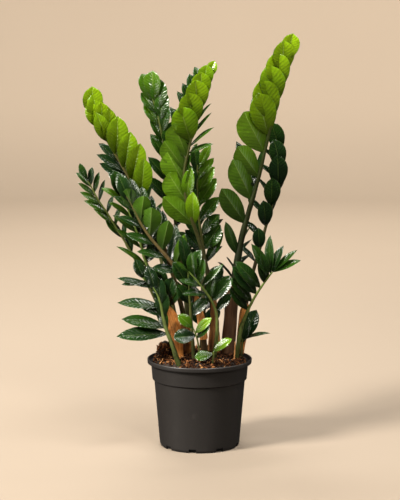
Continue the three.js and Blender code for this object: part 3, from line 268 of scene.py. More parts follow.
# A sheath covers its frond's stem from start to end, in percent. In degrees, its middle is turned from the
# front, it sweeps round the stem, and it leans over towards its top. It flares out there, and lies slack.
SHEATHS = {
    "sheath_left": dict(
        frond="left_pale", start=-3, end=33, turn=-5, sweep=200, lean=-30, flare=7, slack=1.6, tone=1.0),
    "sheath_right_thick": dict(
        frond="right_tall", start=-1, end=24, turn=-20, sweep=230, lean=20, flare=0.8, slack=0.3, tone=0.06),
    "sheath_centre": dict(
        frond="centre_tall", start=-1, end=22, turn=20, sweep=170, lean=10, flare=1.5, slack=0.4, tone=0.25),
    "sheath_centre_tan": dict(
        frond="centre_right", start=-1, end=20, turn=15, sweep=170, lean=10, flare=1.5, slack=0.4, tone=0.45),
    "sheath_tan": dict(
        frond="left_tan", start=10, end=36, turn=30, sweep=150, lean=0, flare=1.5, slack=0.2, tone=0.6),
    "sheath_low_left": dict(
        frond="left_bright", start=-2, end=14, turn=0, sweep=190, lean=0, flare=2, slack=0.7, tone=0.55),
    "sheath_right_small": dict(
        frond="right_dark", start=-1, end=22, turn=-10, sweep=190, lean=10, flare=4, slack=0.7, tone=0.75),
}


# ---- small helpers

def unit(v):
    v = np.asarray(v, float)
    return v / np.linalg.norm(v)


def across(v, axis):
    """The direction of v's share at right angles to the axis."""
    v = np.asarray(v, float)
    return unit(v - axis * np.dot(v, axis))


def draw(key):
    """Seeded draw between 0 and 1."""
    f = math.sin(key * 127.1 + 311.7) * 43758.5453
    return f - math.floor(f)


def mix(a, b, u):
    return np.asarray(a, float) * (1 - u) + np.asarray(b, float) * u


def ends(v):
    """One direction, or one for each end of a rank."""
    return v if isinstance(v[0], tuple) else (v, v)


def new_object(name, data):
    made = bpy.data.objects.new(name, data)
    bpy.context.scene.collection.objects.link(made)
    return made


def turns(steps):
    """Even angles round a circle."""
    return 2 * math.pi * np.arange(steps) / steps


class Path:
    """A smooth curve through the points, sampled at even steps of its length."""

    STEPS = 96
    SPAN = 12
    REACH = 0.015

    def __init__(self, points):
        p = np.array(points, float)
        p = np.vstack([2 * p[0] - p[1], p, 2 * p[-1] - p[-2]])
        t = np.arange(self.SPAN)[:, None] / self.SPAN
        dense = []
        for a, b, c, d in zip(p, p[1:], p[2:], p[3:]):
            square = (2 * a - 5 * b + 4 * c - d) * t * t
            cube = (3 * b - a - 3 * c + d) * t ** 3
            dense.extend(0.5 * (2 * b + (c - a) * t + square + cube))
        dense = np.array([*dense, p[-2]])
        reach = np.r_[0, np.cumsum(np.linalg.norm(np.diff(dense, axis=0), axis=1))]
        even = np.linspace(0, reach[-1], self.STEPS + 1)
        self.points = np.stack([np.interp(even, reach, dense[:, k]) for k in range(3)], 1)
        self.length = reach[-1]

    def at(self, t):
        if t < 0:
            return self.points[0] + (self.points[1] - self.points[0]) * t * self.STEPS
        f = min(t, 1) * self.STEPS
        i = min(int(f), self.STEPS - 1)
        return self.points[i] * (1 - (f - i)) + self.points[i + 1] * (f - i)

    def along(self, t):
        low = t if t < 0 else max(t - self.REACH, 0)
        return unit(self.at(min(t + self.REACH, 1)) - self.at(low))


def radius_at(radii, t):
    return float(np.interp(t, RADIUS_STOPS, radii))


# ---- materials

class Graph:
    """One material, and short calls for its nodes."""

    def __init__(self, name):
        self.material = bpy.data.materials.new(name)
        self.material.use_nodes = True
        self.tree = self.material.node_tree

    def put(self, socket, value):
        if isinstance(value, bpy.types.NodeSocket):
            self.tree.links.new(value, socket)
        elif isinstance(value, tuple) and len(value) == 3 and socket.type == "RGBA":
            socket.default_value = (*value, 1)
        else:
            socket.default_value = value

    def node(self, kind, *given, **settings):
        """A new node with these settings, and its first inputs as given."""
        node = self.tree.nodes.new(f"ShaderNode{kind}")
        for key, value in settings.items():
            setattr(node, key, value)
        for socket, value in zip(node.inputs, given):
            self.put(socket, value)
        return node

    def fill(self, node, named):
        for name, value in named.items():
            self.put(node.inputs[name], value)
        return node

    def attribute(self, name):
        return self.node("Attribute", attribute_name=name).outputs["Fac"]

    def position(self):
        return self.node("TexCoord").outputs["Object"]

    def height(self):
        """The point's height, in metres."""
        return self.node("SeparateXYZ", self.position()).outputs[2]

    def combine(self, x, y, z):
        return self.node("CombineXYZ", x, y, z).outputs[0]

    def math(self, operation, *given):
        return self.node("Math", *given, operation=operation).outputs[0]

    def times(self, a, b):
        return self.math("MULTIPLY", a, b)

    def plus(self, a, b):
        return self.math("ADD", a, b)

    def around_half(self, value, share):
        """A value from 0 to 1, taken round zero and scaled."""
        return self.times(self.math("SUBTRACT", value, 0.5), share)

    def band(self, value, low, high, to_low=0, to_high=1):
        node = self.node("MapRange", value, low, high, to_low, to_high, interpolation_type="SMOOTHSTEP")
        return node.outputs[0]

    def mix(self, factor, a, b, blend="MIX"):
        node = self.node("Mix", factor, data_type="RGBA", blend_type=blend)
        self.put(node.inputs[6], a)
        self.put(node.inputs[7], b)
        return node.outputs[2]

    def scaled(self, colour, share):
        return self.mix(1, colour, self.combine(share, share, share), "MULTIPLY")

    def ramp(self, factor, stops):
        node = self.node("ValToRGB", factor)
        elements = node.color_ramp.elements
        while len(elements) < len(stops):
            elements.new(0.5)
        for element, (position, colour) in zip(elements, stops.items()):
            element.position = position
            element.color = (*colour, 1)
        return node.outputs[0]

    def noise(self, scale, detail, rough=0.55, place=None, stretch=None):
        place = place or self.position()
        if stretch:
            place = self.fill(self.node("Mapping", place), {"Scale": stretch}).outputs[0]
        node = self.node("TexNoise", place)
        self.fill(node, {"Scale": scale, "Detail": detail, "Roughness": rough})
        return node.outputs["Fac"]

    def bump(self, height, strength, distance):
        given = {"Strength": strength, "Distance": distance, "Height": height}
        return self.fill(self.node("Bump"), given).outputs[0]

    def finish(self, colour, rough, specular=0.5, normal=None):
        given = {"Base Color": colour, "Roughness": rough, "Specular IOR Level": specular}
        if normal:
            given["Normal"] = normal
        self.fill(self.tree.nodes["Principled BSDF"], given)
        return self.material


# Colour ramps: leaflets and bark by their tone, stems along their length, the others by a noise.
LEAF_TOP = {0: (0.004, 0.017, 0.004), 0.3: (0.013, 0.045, 0.002), 0.6: (0.049, 0.118, 0.001),
            1: (0.142, 0.246, 0.002)}
LEAF_UNDER = {0: (0.009, 0.03, 0.005), 0.3: (0.02, 0.06, 0.002), 0.6: (0.048, 0.122, 0.001),
              1: (0.09, 0.2, 0.002)}
STEM_DARK = {0: (0.004, 0.005, 0.002), 0.35: (0.007, 0.01, 0.003), 1: (0.024, 0.034, 0.005)}
STEM_GREEN = {0: (0.036, 0.05, 0.012), 0.4: (0.085, 0.12, 0.03), 1: (0.08, 0.13, 0.022)}
STEM_TAN = {0: (0.023, 0.014, 0.006), 0.5: (0.08, 0.052, 0.022), 1: (0.06, 0.056, 0.016)}
SHEATH_ORANGE = {0.3: (0.13, 0.036, 0.007), 0.42: (0.46, 0.15, 0.025), 0.54: (0.78, 0.315, 0.07),
                 0.7: (0.9, 0.52, 0.19)}
SHEATH_BROWN = {0.28: (0.005, 0.002, 0.001), 0.5: (0.013, 0.006, 0.003), 0.66: (0.028, 0.013, 0.006),
                0.85: (0.09, 0.045, 0.022)}
BARK = {0: (0.005, 0.002, 0.001), 0.4: (0.022, 0.008, 0.003), 0.7: (0.135, 0.048, 0.014),
        1: (0.4, 0.2, 0.075)}
EARTH = {0.3: (0.005, 0.003, 0.002), 0.55: (0.022, 0.013, 0.007), 0.8: (0.068, 0.038, 0.019)}
RHIZOME = {0.35: (0.22, 0.14, 0.07), 0.65: (0.42, 0.3, 0.17)}
VEIN_GREEN = (0.17, 0.26, 0.03)
RIB_GREEN = (0.26, 0.38, 0.08)
VEINS = Numbers(count=11, bend=2.2)


def leaf_material(name, stops, rib_share, rib_height, rough, specular):
    g = Graph(name)
    u, v = g.attribute("leaf_u"), g.attribute("leaf_v")
    tone, chance = g.attribute("tone"), g.attribute("chance")
    aside = g.math("ABSOLUTE", v)
    # Side veins leave the midrib and bend towards the tip.
    lane = g.math("SUBTRACT", g.times(u, VEINS.count), g.times(aside, VEINS.bend))
    wave = g.math("SINE", g.times(lane, 2 * math.pi))
    vein = g.band(wave, 0.55, 1)
    rib = g.band(aside, 0.01, 0.07, 1, 0)
    edge = g.band(aside, 0.9, 1)
    cloud = g.noise(38, detail=3)
    varied = g.plus(g.plus(tone, g.around_half(cloud, 0.34)), g.around_half(chance, 0.16))
    colour = g.ramp(varied, stops)
    pale = g.mix(0.5, colour, VEIN_GREEN)
    rib_pale = g.mix(0.5, colour, RIB_GREEN)
    # Dark leaflets show their veins and rib less.
    shown = g.band(tone, 0.05, 0.6, 0.3, 1)
    colour = g.mix(g.times(vein, g.times(shown, 0.2)), colour, pale)
    colour = g.mix(g.times(rib, g.times(shown, rib_share)), colour, rib_pale)
    # A paler rim: partly the leaflet's own lighter margin, partly painted rim light.
    colour = g.mix(g.times(edge, 0.2), colour, pale)
    # A leaflet is painted darker towards its foot, painted shade where the leaflet below overlaps it, and a
    # little brighter at its tip, a painted highlight.
    colour = g.scaled(colour, g.band(u, 0, 0.95, 0.24, 1.1))
    rough = g.plus(rough, g.times(g.noise(420, detail=2), 0.14))
    # Heights in mm: side veins, soft swellings between them, and the rib.
    height = g.plus(g.times(wave, 0.1), g.times(g.noise(95, detail=1), 1.1))
    height = g.plus(height, g.times(g.noise(260, detail=2), 0.16))
    height = g.plus(height, g.times(rib, rib_height))
    return g.finish(colour, rough, specular, g.bump(height, 1, MM))


def stem_material():
    g = Graph("stem_skin")
    along, brown, light = g.attribute("leaf_u"), g.attribute("tone"), g.attribute("chance")
    green = g.mix(light, g.ramp(along, STEM_DARK), g.ramp(along, STEM_GREEN))
    colour = g.mix(brown, green, g.ramp(along, STEM_TAN))
    spots = g.band(g.noise(330, detail=3, stretch=(1, 1, 0.55)), 0.54, 0.64)
    fade = g.band(along, 0.15, 0.85, 0.6, 0.15)
    colour = g.mix(g.times(spots, fade), colour, (0.007, 0.004, 0.003))
    streak = g.noise(160, detail=2, stretch=(1, 1, 0.12))
    paler = g.mix(1, colour, (1.7, 1.6, 1.6), "MULTIPLY")
    colour = g.mix(g.times(g.band(streak, 0.45, 0.75), 0.35), colour, paler)
    rough = g.plus(0.34, g.times(streak, 0.2))
    return g.finish(colour, rough, 0.1, g.bump(streak, 0.35, 0.6 * MM))


def sheath_material():
    g = Graph("dry_sheath")
    u, v, tone = g.attribute("leaf_u"), g.attribute("leaf_v"), g.attribute("tone")
    # Fibres run up the sheath, so the noise is finer across it.
    place = g.combine(g.times(v, 9), g.times(u, 1.3), tone)
    fibre = g.noise(3.2, detail=5, rough=0.65, place=place)
    patch = g.band(g.noise(70, detail=3), 0.5, 0.72)
    colour = g.mix(tone, g.ramp(fibre, SHEATH_BROWN), g.ramp(fibre, SHEATH_ORANGE))
    colour = g.mix(g.times(patch, 0.55), colour, (0.045, 0.019, 0.008))
    rough = g.plus(0.38, g.times(fibre, 0.35))
    return g.finish(colour, rough, 0.3, g.bump(fibre, 0.8, 0.9 * MM))


def pot_material():
    g = Graph("moulded_plastic")
    grain = g.noise(900, detail=2)
    cloud = g.noise(9, detail=4)
    dust = g.band(g.noise(60, detail=6, rough=0.7), 0.55, 0.8)
    colour = g.mix(g.times(cloud, 0.6), (0.013, 0.0115, 0.0105), (0.019, 0.0165, 0.015))
    colour = g.mix(g.times(dust, 0.08), colour, (0.06, 0.05, 0.04))
    rough = g.plus(g.plus(0.4, g.times(cloud, 0.12)), g.times(dust, 0.12))
    # The mould's fine rings.
    turned = g.noise(1, detail=2, stretch=(2, 2, 420))
    height = g.plus(g.times(grain, 0.5), turned)
    return g.finish(colour, rough, normal=g.bump(height, 0.25, 0.2 * MM))


def bark_material():
    g = Graph("bark_chips")
    grain = g.noise(260, detail=4, rough=0.7)
    cracks = g.times(g.band(grain, 0.46, 0.7), 0.5)
    colour = g.mix(cracks, g.ramp(g.attribute("tone"), BARK), (0.022, 0.009, 0.004))
    return g.finish(colour, 0.75, 0.08, g.bump(grain, 0.9, 0.8 * MM))


def earth_material():
    g = Graph("dark_earth")
    crumb = g.noise(420, detail=6, rough=0.75)
    # Towards its bottom, behind the pot's drain notches, the soil is painted nearly black, painted shade for
    # the hollows of the notches.
    colour = g.scaled(g.ramp(crumb, EARTH), g.band(g.height(), 0.008, 0.03, 0.04, 1))
    return g.finish(colour, 0.95, normal=g.bump(crumb, 1, 2.5 * MM))


def rhizome_material():
    g = Graph("rhizome_skin")
    patch = g.noise(90, detail=4)
    return g.finish(g.ramp(patch, RHIZOME), 0.8, normal=g.bump(patch, 0.5, MM))


def floor_material():
    g = Graph("pale_floor")
    sand = g.mix(g.noise(1.4, detail=2), (0.267, 0.221, 0.173), (0.281, 0.233, 0.182))
    return g.finish(g.scaled(sand, g.band(g.height(), 0, 0.4, 0.9, 1)), 0.9, 0)


MATERIALS = {
    "stem": stem_material(),
    "top": leaf_material("leaf_upper_face", LEAF_TOP, 0.8, rib_height=-0.35, rough=0.13, specular=0.42),
    "under": leaf_material("leaf_under_face", LEAF_UNDER, 0.6, rib_height=0.3, rough=0.28, specular=0.4),
    "sheath": sheath_material(),
    "pot": pot_material(),
    "bark": bark_material(),
    "earth": earth_material(),
    "rhizome": rhizome_material(),
}


# ---- mesh building

class Builder:
    """Gathers grids of points, given in mm, into one mesh with values at its points."""

    NAMES = ("leaf_u", "leaf_v", "tone", "chance")

    def __init__(self):
        self.points, self.faces, self.slots = [], [], []
        self.values = {name: [] for name in self.NAMES}
        self.count = 0

    def add(self, points, faces, slot, **values):
        points = np.asarray(points, float).reshape(-1, 3)
        self.points.append(points)
        self.faces += [tuple(i + self.count for i in face) for face in faces]
        self.slots += [slot] * len(faces)
        for name in self.NAMES:
            self.values[name].append(np.broadcast_to(np.ravel(values.get(name, 0)), len(points)))
        self.count += len(points)

    def grid(self, points, slot, flip=False, closed=False, **values):
        rows, columns = points.shape[:2]
        faces = []
        for r in range(rows - 1):
            for c in range(columns if closed else columns - 1):
                d = (c + 1) % columns
                quad = (r * columns + c, r * columns + d, (r + 1) * columns + d, (r + 1) * columns + c)
                faces.append(quad[::-1] if flip else quad)
        self.add(points, faces, slot, **values)

    def revolve(self, profile, steps):
        """Turns a profile of (radius, height) round the upright axis."""
        radius, height = np.array(profile, float).T[..., None]
        angle = turns(steps)
        ring = [radius * np.cos(angle), radius * np.sin(angle), height + 0 * angle]
        self.grid(np.stack(ring, 2), 0, closed=True)

    def make(self, name, materials, smooth=True):
        mesh = bpy.data.meshes.new(name)
        points = np.vstack(self.points) * MM
        mesh.from_pydata(points.tolist(), [], self.faces)
        for material in materials:
            mesh.materials.append(material)
        mesh.polygons.foreach_set("material_index", self.slots)
        mesh.polygons.foreach_set("use_smooth", [smooth] * len(mesh.polygons))
        for key, given in self.values.items():
            attribute = mesh.attributes.new(key, "FLOAT", "POINT")
            attribute.data.foreach_set("value", np.concatenate(given).astype(np.float32))
        mesh.update()
        return new_object(name, mesh)


# ---- fronds

# Where a leaflet's mesh has points, along it and across it.
LEAF_ALONG = (0, 0.03, 0.07, 0.13, 0.21, 0.3, 0.39, 0.48, 0.57, 0.66, 0.74, 0.82, 0.89, 0.945, 0.98, 0.999)
LEAF_ACROSS = (-1, -0.86, -0.62, -0.34, -0.1, 0, 0.1, 0.34, 0.62, 0.86, 1)

# The stalk, the leaflet's thickness and its rib are in mm. The wave, the pleats and the fold are shares of
# the half width. The bend, the tip's bow and the sweep are shares of the length.
LEAFLET = Numbers(stalk=1.1, thick=0.55, rib=0.75, rib_width=0.9, pinch=0.4, pinch_reach=0.07, wave=0.045,
                  waves=1.6, pleat=0.018, pleats=5, fold=0.42, bend=-0.05, tip_bow=0.09, sweep=0.05)
RANK = Numbers(crowding=0.9, angle_spread=7, tip_taper=0.42, foot_taper=0.22, size_spread=0.1, looseness=2.5)
STEM = Numbers(sides=16, steps=72, past_end=0.004, end_radius=0.3, swell=0.05, wobble=0.04)


def spaced_leaflet(rank, u, key):
    """A leaflet's numbers at u, from 0 to 1, in a rank with a count."""
    place = mix(rank["start"], rank["end"], u ** RANK.crowding)
    opening = float(mix(*rank["open"], u)) + RANK.angle_spread * (draw(key) - 0.5)
    taper = 1 - RANK.tip_taper * u ** 2.4 - RANK.foot_taper * (1 - u) ** 3
    size = 1 + RANK.size_spread * (draw(key + 5) - 0.5)
    length = rank["length"] * taper * size * float(mix(*rank.get("sizes", (1, 1)), u))
    return place, opening, length, rank["width"]


def leaflets(frond, path):
    for rank_index, rank in enumerate(frond["ranks"]):
        out, face = ends(rank["out"]), ends(rank["face"])
        given = rank.get("leaves")
        count = len(given) if given else rank["count"]
        for i in range(count):
            u = i / max(1, count - 1)
            key = frond["seed"] * 100 + rank_index * 37 + i
            place, opening, length, width = given[i] if given else spaced_leaflet(rank, u, key)
            place, width = place / 100, width / 100
            along = path.along(place)
            side = across(mix(*out, u), along)
            angle = math.radians(opening)
            ahead = unit(math.cos(angle) * along + math.sin(angle) * side)
            loose = np.array([draw(key + k) - 0.5 for k in (11, 23, 31)])
            normal = across(mix(*face, u) + RANK.looseness * loose, ahead)
            yield dict(key=key, base=path.at(place), ahead=ahead, normal=normal, length=length, width=width,
                       bend=rank.get("bend", LEAFLET.bend), tone=float(mix(*rank["tone"], u)) / 100)


def blade_shape(s, width):
    """Share of the half width at s. Narrow blades end in a sharper tip."""
    foot, tip = 0.9, 0.62 + max(0, 0.6 - width) * 0.7
    peak = foot / (foot + tip)
    pointed = 1 - LEAFLET.pinch * np.exp(-(((1 - s) / LEAFLET.pinch_reach) ** 2))
    return (s ** foot * (1 - s) ** tip) / (peak ** foot * (1 - peak) ** tip) * pointed


def leaflet_rise(leaf, s, w, half):
    """How far the blade rises from its flat plane, in mm: bend, fold, wavy edge, bowed tip and pleats."""
    key, length, half_width = leaf["key"], leaf["length"], leaf["width"] * leaf["length"] / 2
    bulge = np.sin(math.pi * s)
    fold = LEAFLET.fold * (0.7 + 0.6 * draw(key + 41)) * half * (np.abs(w) - 0.38 * w * w)
    phase = 2 * math.pi * draw(key + 43)
    wave = LEAFLET.wave * half_width * np.sin(2 * math.pi * LEAFLET.waves * s + phase + np.sign(w) * 1.1)
    bow = (draw(key + 47) - 0.65) * LEAFLET.tip_bow * length * s ** 5
    pleat = LEAFLET.pleat * half_width * np.sin(2 * math.pi * (s * LEAFLET.pleats - np.abs(w) * 0.9))
    return leaf["bend"] * length * s * s + fold + wave * w * w * bulge + bow + pleat * np.abs(w) * bulge


def add_leaflet(builder, leaf):
    key, length, normal = leaf["key"], leaf["length"], leaf["normal"]
    s, w = np.meshgrid(LEAF_ALONG, LEAF_ACROSS, indexing="ij")
    half = leaf["width"] * length / 2 * blade_shape(s, leaf["width"])
    half = np.maximum(half, LEAFLET.stalk * (1 - s) ** 2 + 0.12)
    rise = leaflet_rise(leaf, s, w, half)
    sweep = (draw(key + 53) - 0.5) * LEAFLET.sweep * length * s * s
    side = np.cross(leaf["ahead"], normal)
    surface = leaf["base"] + leaf["ahead"] * (length * s)[..., None]
    surface = surface + side * (half * w + sweep)[..., None] + normal * rise[..., None]
    thick = LEAFLET.thick * (1 - w ** 4) * (0.5 + 0.5 * np.minimum(1, half / 4))
    rib = LEAFLET.rib * np.exp(-((half * w / LEAFLET.rib_width) ** 2)) * (1 - s) ** 0.7
    top = surface + normal * (thick * 0.5 + rib * 0.15)[..., None]
    under = surface - normal * (thick * 0.5 + rib)[..., None]
    given = dict(leaf_u=s, leaf_v=w, tone=leaf["tone"], chance=draw(key + 59))
    builder.grid(top, 1, **given)
    builder.grid(under, 2, flip=True, **given)


def add_stem(builder, frond, path):
    angle = turns(STEM.sides)[:, None]
    seed = frond["seed"]
    start = -BURIED / path.length
    places = start + (1 + STEM.past_end - start) * np.arange(STEM.steps + 1) / STEM.steps
    rows = []
    for t in places:
        along = path.along(min(t, 1))
        centre = path.at(t) + along * max(t - 1, 0) * path.length
        right = across((0, 1, 0), along)
        up = np.cross(along, right)
        radius = radius_at(frond["radius"], max(t, 0)) * (1 + STEM.swell * math.sin(t * 61 + seed))
        if t > 1:
            radius *= STEM.end_radius
        wobble = 1 + STEM.wobble * np.sin(3 * angle + t * 9 + seed)
        rows.append(centre + radius * wobble * (right * np.cos(angle) + up * np.sin(angle)))
    given = dict(tone=frond["bark"], chance=frond["light"])
    along_values = np.repeat(np.maximum(places, 0), STEM.sides)
    builder.grid(np.array(rows), 0, closed=True, leaf_u=along_values, **given)
    builder.add(rows[-1], [tuple(range(STEM.sides))], 0, leaf_u=1, **given)


def make_frond(name, frond, path):
    builder = Builder()
    add_stem(builder, frond, path)
    for leaf in leaflets(frond, path):
        add_leaflet(builder, leaf)
    piece = builder.make(f"{name}_frond", [MATERIALS["stem"], MATERIALS["top"], MATERIALS["under"]])
    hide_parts(f"frond_{name}")
    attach(piece, "root")


# ---- pot

def rounded(profile, amount):
    """The profile with its corners cut round."""
    made = [profile[0]]
    for before, corner, after in zip(profile, profile[1:], profile[2:]):
        a, b, c = (np.array(p, float) for p in (before, corner, after))
        reach = min(amount, 0.4 * np.linalg.norm(a - b), 0.4 * np.linalg.norm(c - b))
        start, end = b + unit(a - b) * reach, b + unit(c - b) * reach
        for f in (0, 0.25, 0.5, 0.75, 1):
            made.append(tuple((1 - f) ** 2 * start + 2 * f * (1 - f) * b + f * f * end))
    made.append(profile[-1])
    return made


def pot_profile():
    p = POT
    lip_foot = p.height - p.lip_height
    outside = [
        (CENTRE, 0), (p.base, 0), (p.corner, p.corner_height), (p.shoulder, p.shoulder_height),
        (p.band, p.band_bottom), (p.neck, lip_foot), (p.lip - 0.5, lip_foot),
        (p.lip, p.height - 1), (p.lip - 0.8, p.height),
    ]
    inside = [
        (p.lip - 2.2, p.height), (p.lip - 3.6, lip_foot + 1.2), (p.neck - p.wall, lip_foot - 1.5),
        (p.band - p.wall, p.band_bottom + 0.6), (p.shoulder - p.wall, p.shoulder_height - 0.6),
        (p.corner - p.wall, p.corner_height), (p.base - p.wall, p.floor), (CENTRE, p.floor),
    ]
    return rounded([*outside, *inside], p.rounding)


def notch_boxes():
    """One object of boxes, one at each drain notch."""
    p = POT
    boxes = bmesh.new()
    size = Matrix.Diagonal((p.notch_depth, p.notch_width, 2 * p.notch_height, 1))
    shape = Matrix.Scale(MM, 4) @ Matrix.Translation((p.base, 0, 0)) @ size
    for k in range(p.notches):
        turn = Matrix.Rotation(math.radians(-90 + p.notch_turn + 360 / p.notches * k), 4, "Z")
        bmesh.ops.create_cube(boxes, size=1, matrix=turn @ shape)
    mesh = bpy.data.meshes.new("notches")
    boxes.to_mesh(mesh)
    boxes.free()
    return new_object("notches", mesh)


def make_pot():
    builder = Builder()
    builder.revolve(pot_profile(), 180)
    pot = builder.make("pot_shell", [MATERIALS["pot"]])
    cut = pot.modifiers.new("notches", "BOOLEAN")
    cut.object = notch_boxes()
    cut.solver = "EXACT"
    cut.operation = "DIFFERENCE"
    graph = bpy.context.evaluated_depsgraph_get()
    pot.data = bpy.data.meshes.new_from_object(pot.evaluated_get(graph))
    bpy.data.objects.remove(cut.object)
    pot.modifiers.clear()
    pot.data.polygons.foreach_set("use_smooth", [True] * len(pot.data.polygons))
    pot.data.set_sharp_from_angle(angle=math.radians(38))
    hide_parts("pot")
    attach(pot, "root")


# ---- soil

def soil_height(x, y):
    r = np.hypot(x, y)
    mound = SOIL.crown * (1 - (r / SOIL_LIMIT) ** SOIL.power)
    away = np.hypot(x - SOIL.clump[0], y - SOIL.clump[1]) / SOIL.clump_spread
    clump = SOIL.clump_height * np.exp(-away * away) * np.minimum(1, (SOIL_LIMIT - r) / 10)
    return float(SOIL.edge + mound + np.maximum(0, clump))


def soil_slope(x, y, step=1.5):
    """The direction that the soil's surface faces."""
    east = soil_height(x - step, y) - soil_height(x + step, y)
    north = soil_height(x, y - step) - soil_height(x, y + step)
    return Vector((east, north, 2 * step)).normalized()


MOUND = Numbers(steps=96, rings=30, sink=2.2, roughness=1.1)


def make_soil():
    p = POT
    builder = Builder()
    clear = p.wall + GAP
    builder.revolve([
        (CENTRE, p.floor + GAP), (p.base - clear, p.floor + GAP),
        (p.corner - clear, p.corner_height + 0.4), (p.shoulder - clear, p.shoulder_height - 0.2),
        (p.band - clear, p.band_bottom + 1), (SOIL_LIMIT, SOIL.edge - 3),
    ], MOUND.steps)
    rows = []
    for radius in [*np.linspace(SOIL_LIMIT, 2, MOUND.rings), CENTRE]:
        ring = []
        for k, angle in enumerate(turns(MOUND.steps)):
            x, y = radius * math.cos(angle), radius * math.sin(angle)
            rough = MOUND.roughness * (draw(k * 31 + radius * 7) - 0.5) if radius < SOIL_LIMIT - 1 else 0
            ring.append((x, y, soil_height(x, y) - MOUND.sink + rough))
        rows.append(ring)
    builder.grid(np.array(rows), 0, closed=True)
    mound = builder.make("soil_mound", [MATERIALS["earth"]])
    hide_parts("soil")
    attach(mound, "root")


# The layer of loose bark, in mm: first chips gather on the clump, and a share of all are big.
CHIPS = Numbers(count=3000, on_clump=400, clump_spread=11, big_share=0.16, corners=6, clear=0.5, highest=36,
                tilt=0.42, roll=0.5)
STICK = Numbers(place=(55, -32), radius=1.4, height=43, lean=2, taper=0.25, sides=8)


def chip_body(rng, length, wide, deep):
    """A ragged plate round the origin: its upper corners, then its lower ones."""
    corners = CHIPS.corners
    angle = turns(corners) + rng.uniform(-0.3, 0.3, corners)
    outline = np.stack([0.5 * length * np.cos(angle), 0.5 * wide * np.sin(angle)], 1)
    outline *= rng.uniform(0.75, 1.15, (corners, 1))
    top = np.c_[outline, deep / 2 + rng.uniform(-0.2, 0.2, corners)]
    low = np.c_[outline * 0.9, np.full(corners, -deep / 2)]
    return np.vstack([top, low])


def draw_chip(rng, on_clump, stems):
    """One chip's points and tone, or None where it would leave the soil or meet a stem."""
    angle = rng.uniform(0, 2 * math.pi)
    big = rng.random() < CHIPS.big_share
    length = rng.uniform(8, 15) if big else rng.uniform(3, 8.5)
    wide = length * rng.uniform(0.14, 0.38)
    deep = rng.uniform(0.8, 2.2) if big else rng.uniform(0.5, 1.3)
    limit = SOIL_LIMIT - length * 0.42
    r = limit * math.sqrt(rng.random())
    x, y = r * math.cos(angle), r * math.sin(angle)
    if on_clump:
        x, y = (rng.normal(middle, CHIPS.clump_spread) for middle in SOIL.clump)
    if math.hypot(x, y) > limit:
        return None
    lift = rng.uniform(-1.8, 0.9)
    yaw, pitch, roll = rng.uniform(0, 2 * math.pi), rng.normal(0, CHIPS.tilt), rng.normal(0, CHIPS.roll)
    if any(math.hypot(x - sx, y - sy) < radius + CHIPS.clear for sx, sy, radius in stems):
        return None
    body = chip_body(rng, length, wide, deep)
    slope = soil_slope(x, y)
    lie = Vector((0, 0, 1)).rotation_difference(slope).to_matrix() @ Euler((roll, pitch, yaw)).to_matrix()
    body = body @ np.array(lie).T + np.array([x, y, soil_height(x, y)]) + lift * np.array(slope)
    body[:, 2] = np.minimum(body[:, 2], SOIL.edge + CHIPS.highest)
    # Chips on the clump are painted lighter, to lift the shade that falls on them there.
    tone = rng.beta(1.1, 1.8) + (0.12 if big else 0) + (0.14 if on_clump else 0)
    return body, min(tone, 1)


def add_stick(builder):
    angle = turns(STICK.sides)
    ring = np.stack([np.cos(angle), np.sin(angle), 0 * angle], 1) * STICK.radius
    foot = np.array([*STICK.place, SOIL.edge])
    top = np.array([STICK.lean, 0, STICK.height])
    rows = [ring * (1 - STICK.taper * f) + foot + top * f for f in (0, 0.35, 0.7, 1)]
    builder.grid(np.array(rows), 0, closed=True, tone=0.95)
    builder.add(rows[-1], [tuple(range(STICK.sides))], 0, tone=0.95)


def make_bark(stems):
    rng = np.random.default_rng(17)
    n = CHIPS.corners
    faces = [tuple(range(n)), tuple(range(2 * n - 1, n - 1, -1))]
    faces += [(k, k + n, (k + 1) % n + n, (k + 1) % n) for k in range(n)]
    builder = Builder()
    for i in range(CHIPS.count):
        chip = draw_chip(rng, i < CHIPS.on_clump, stems)
        if chip:
            builder.add(chip[0], faces, 0, tone=chip[1])
    add_stick(builder)
    layer = builder.make("bark_layer", [MATERIALS["bark"]], smooth=False)
    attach(layer, "root")


# ---- sheaths

SHEATH = Numbers(rows=26, columns=17, thick=0.6, clear=0.45, curl=0.9, fray=0.07)


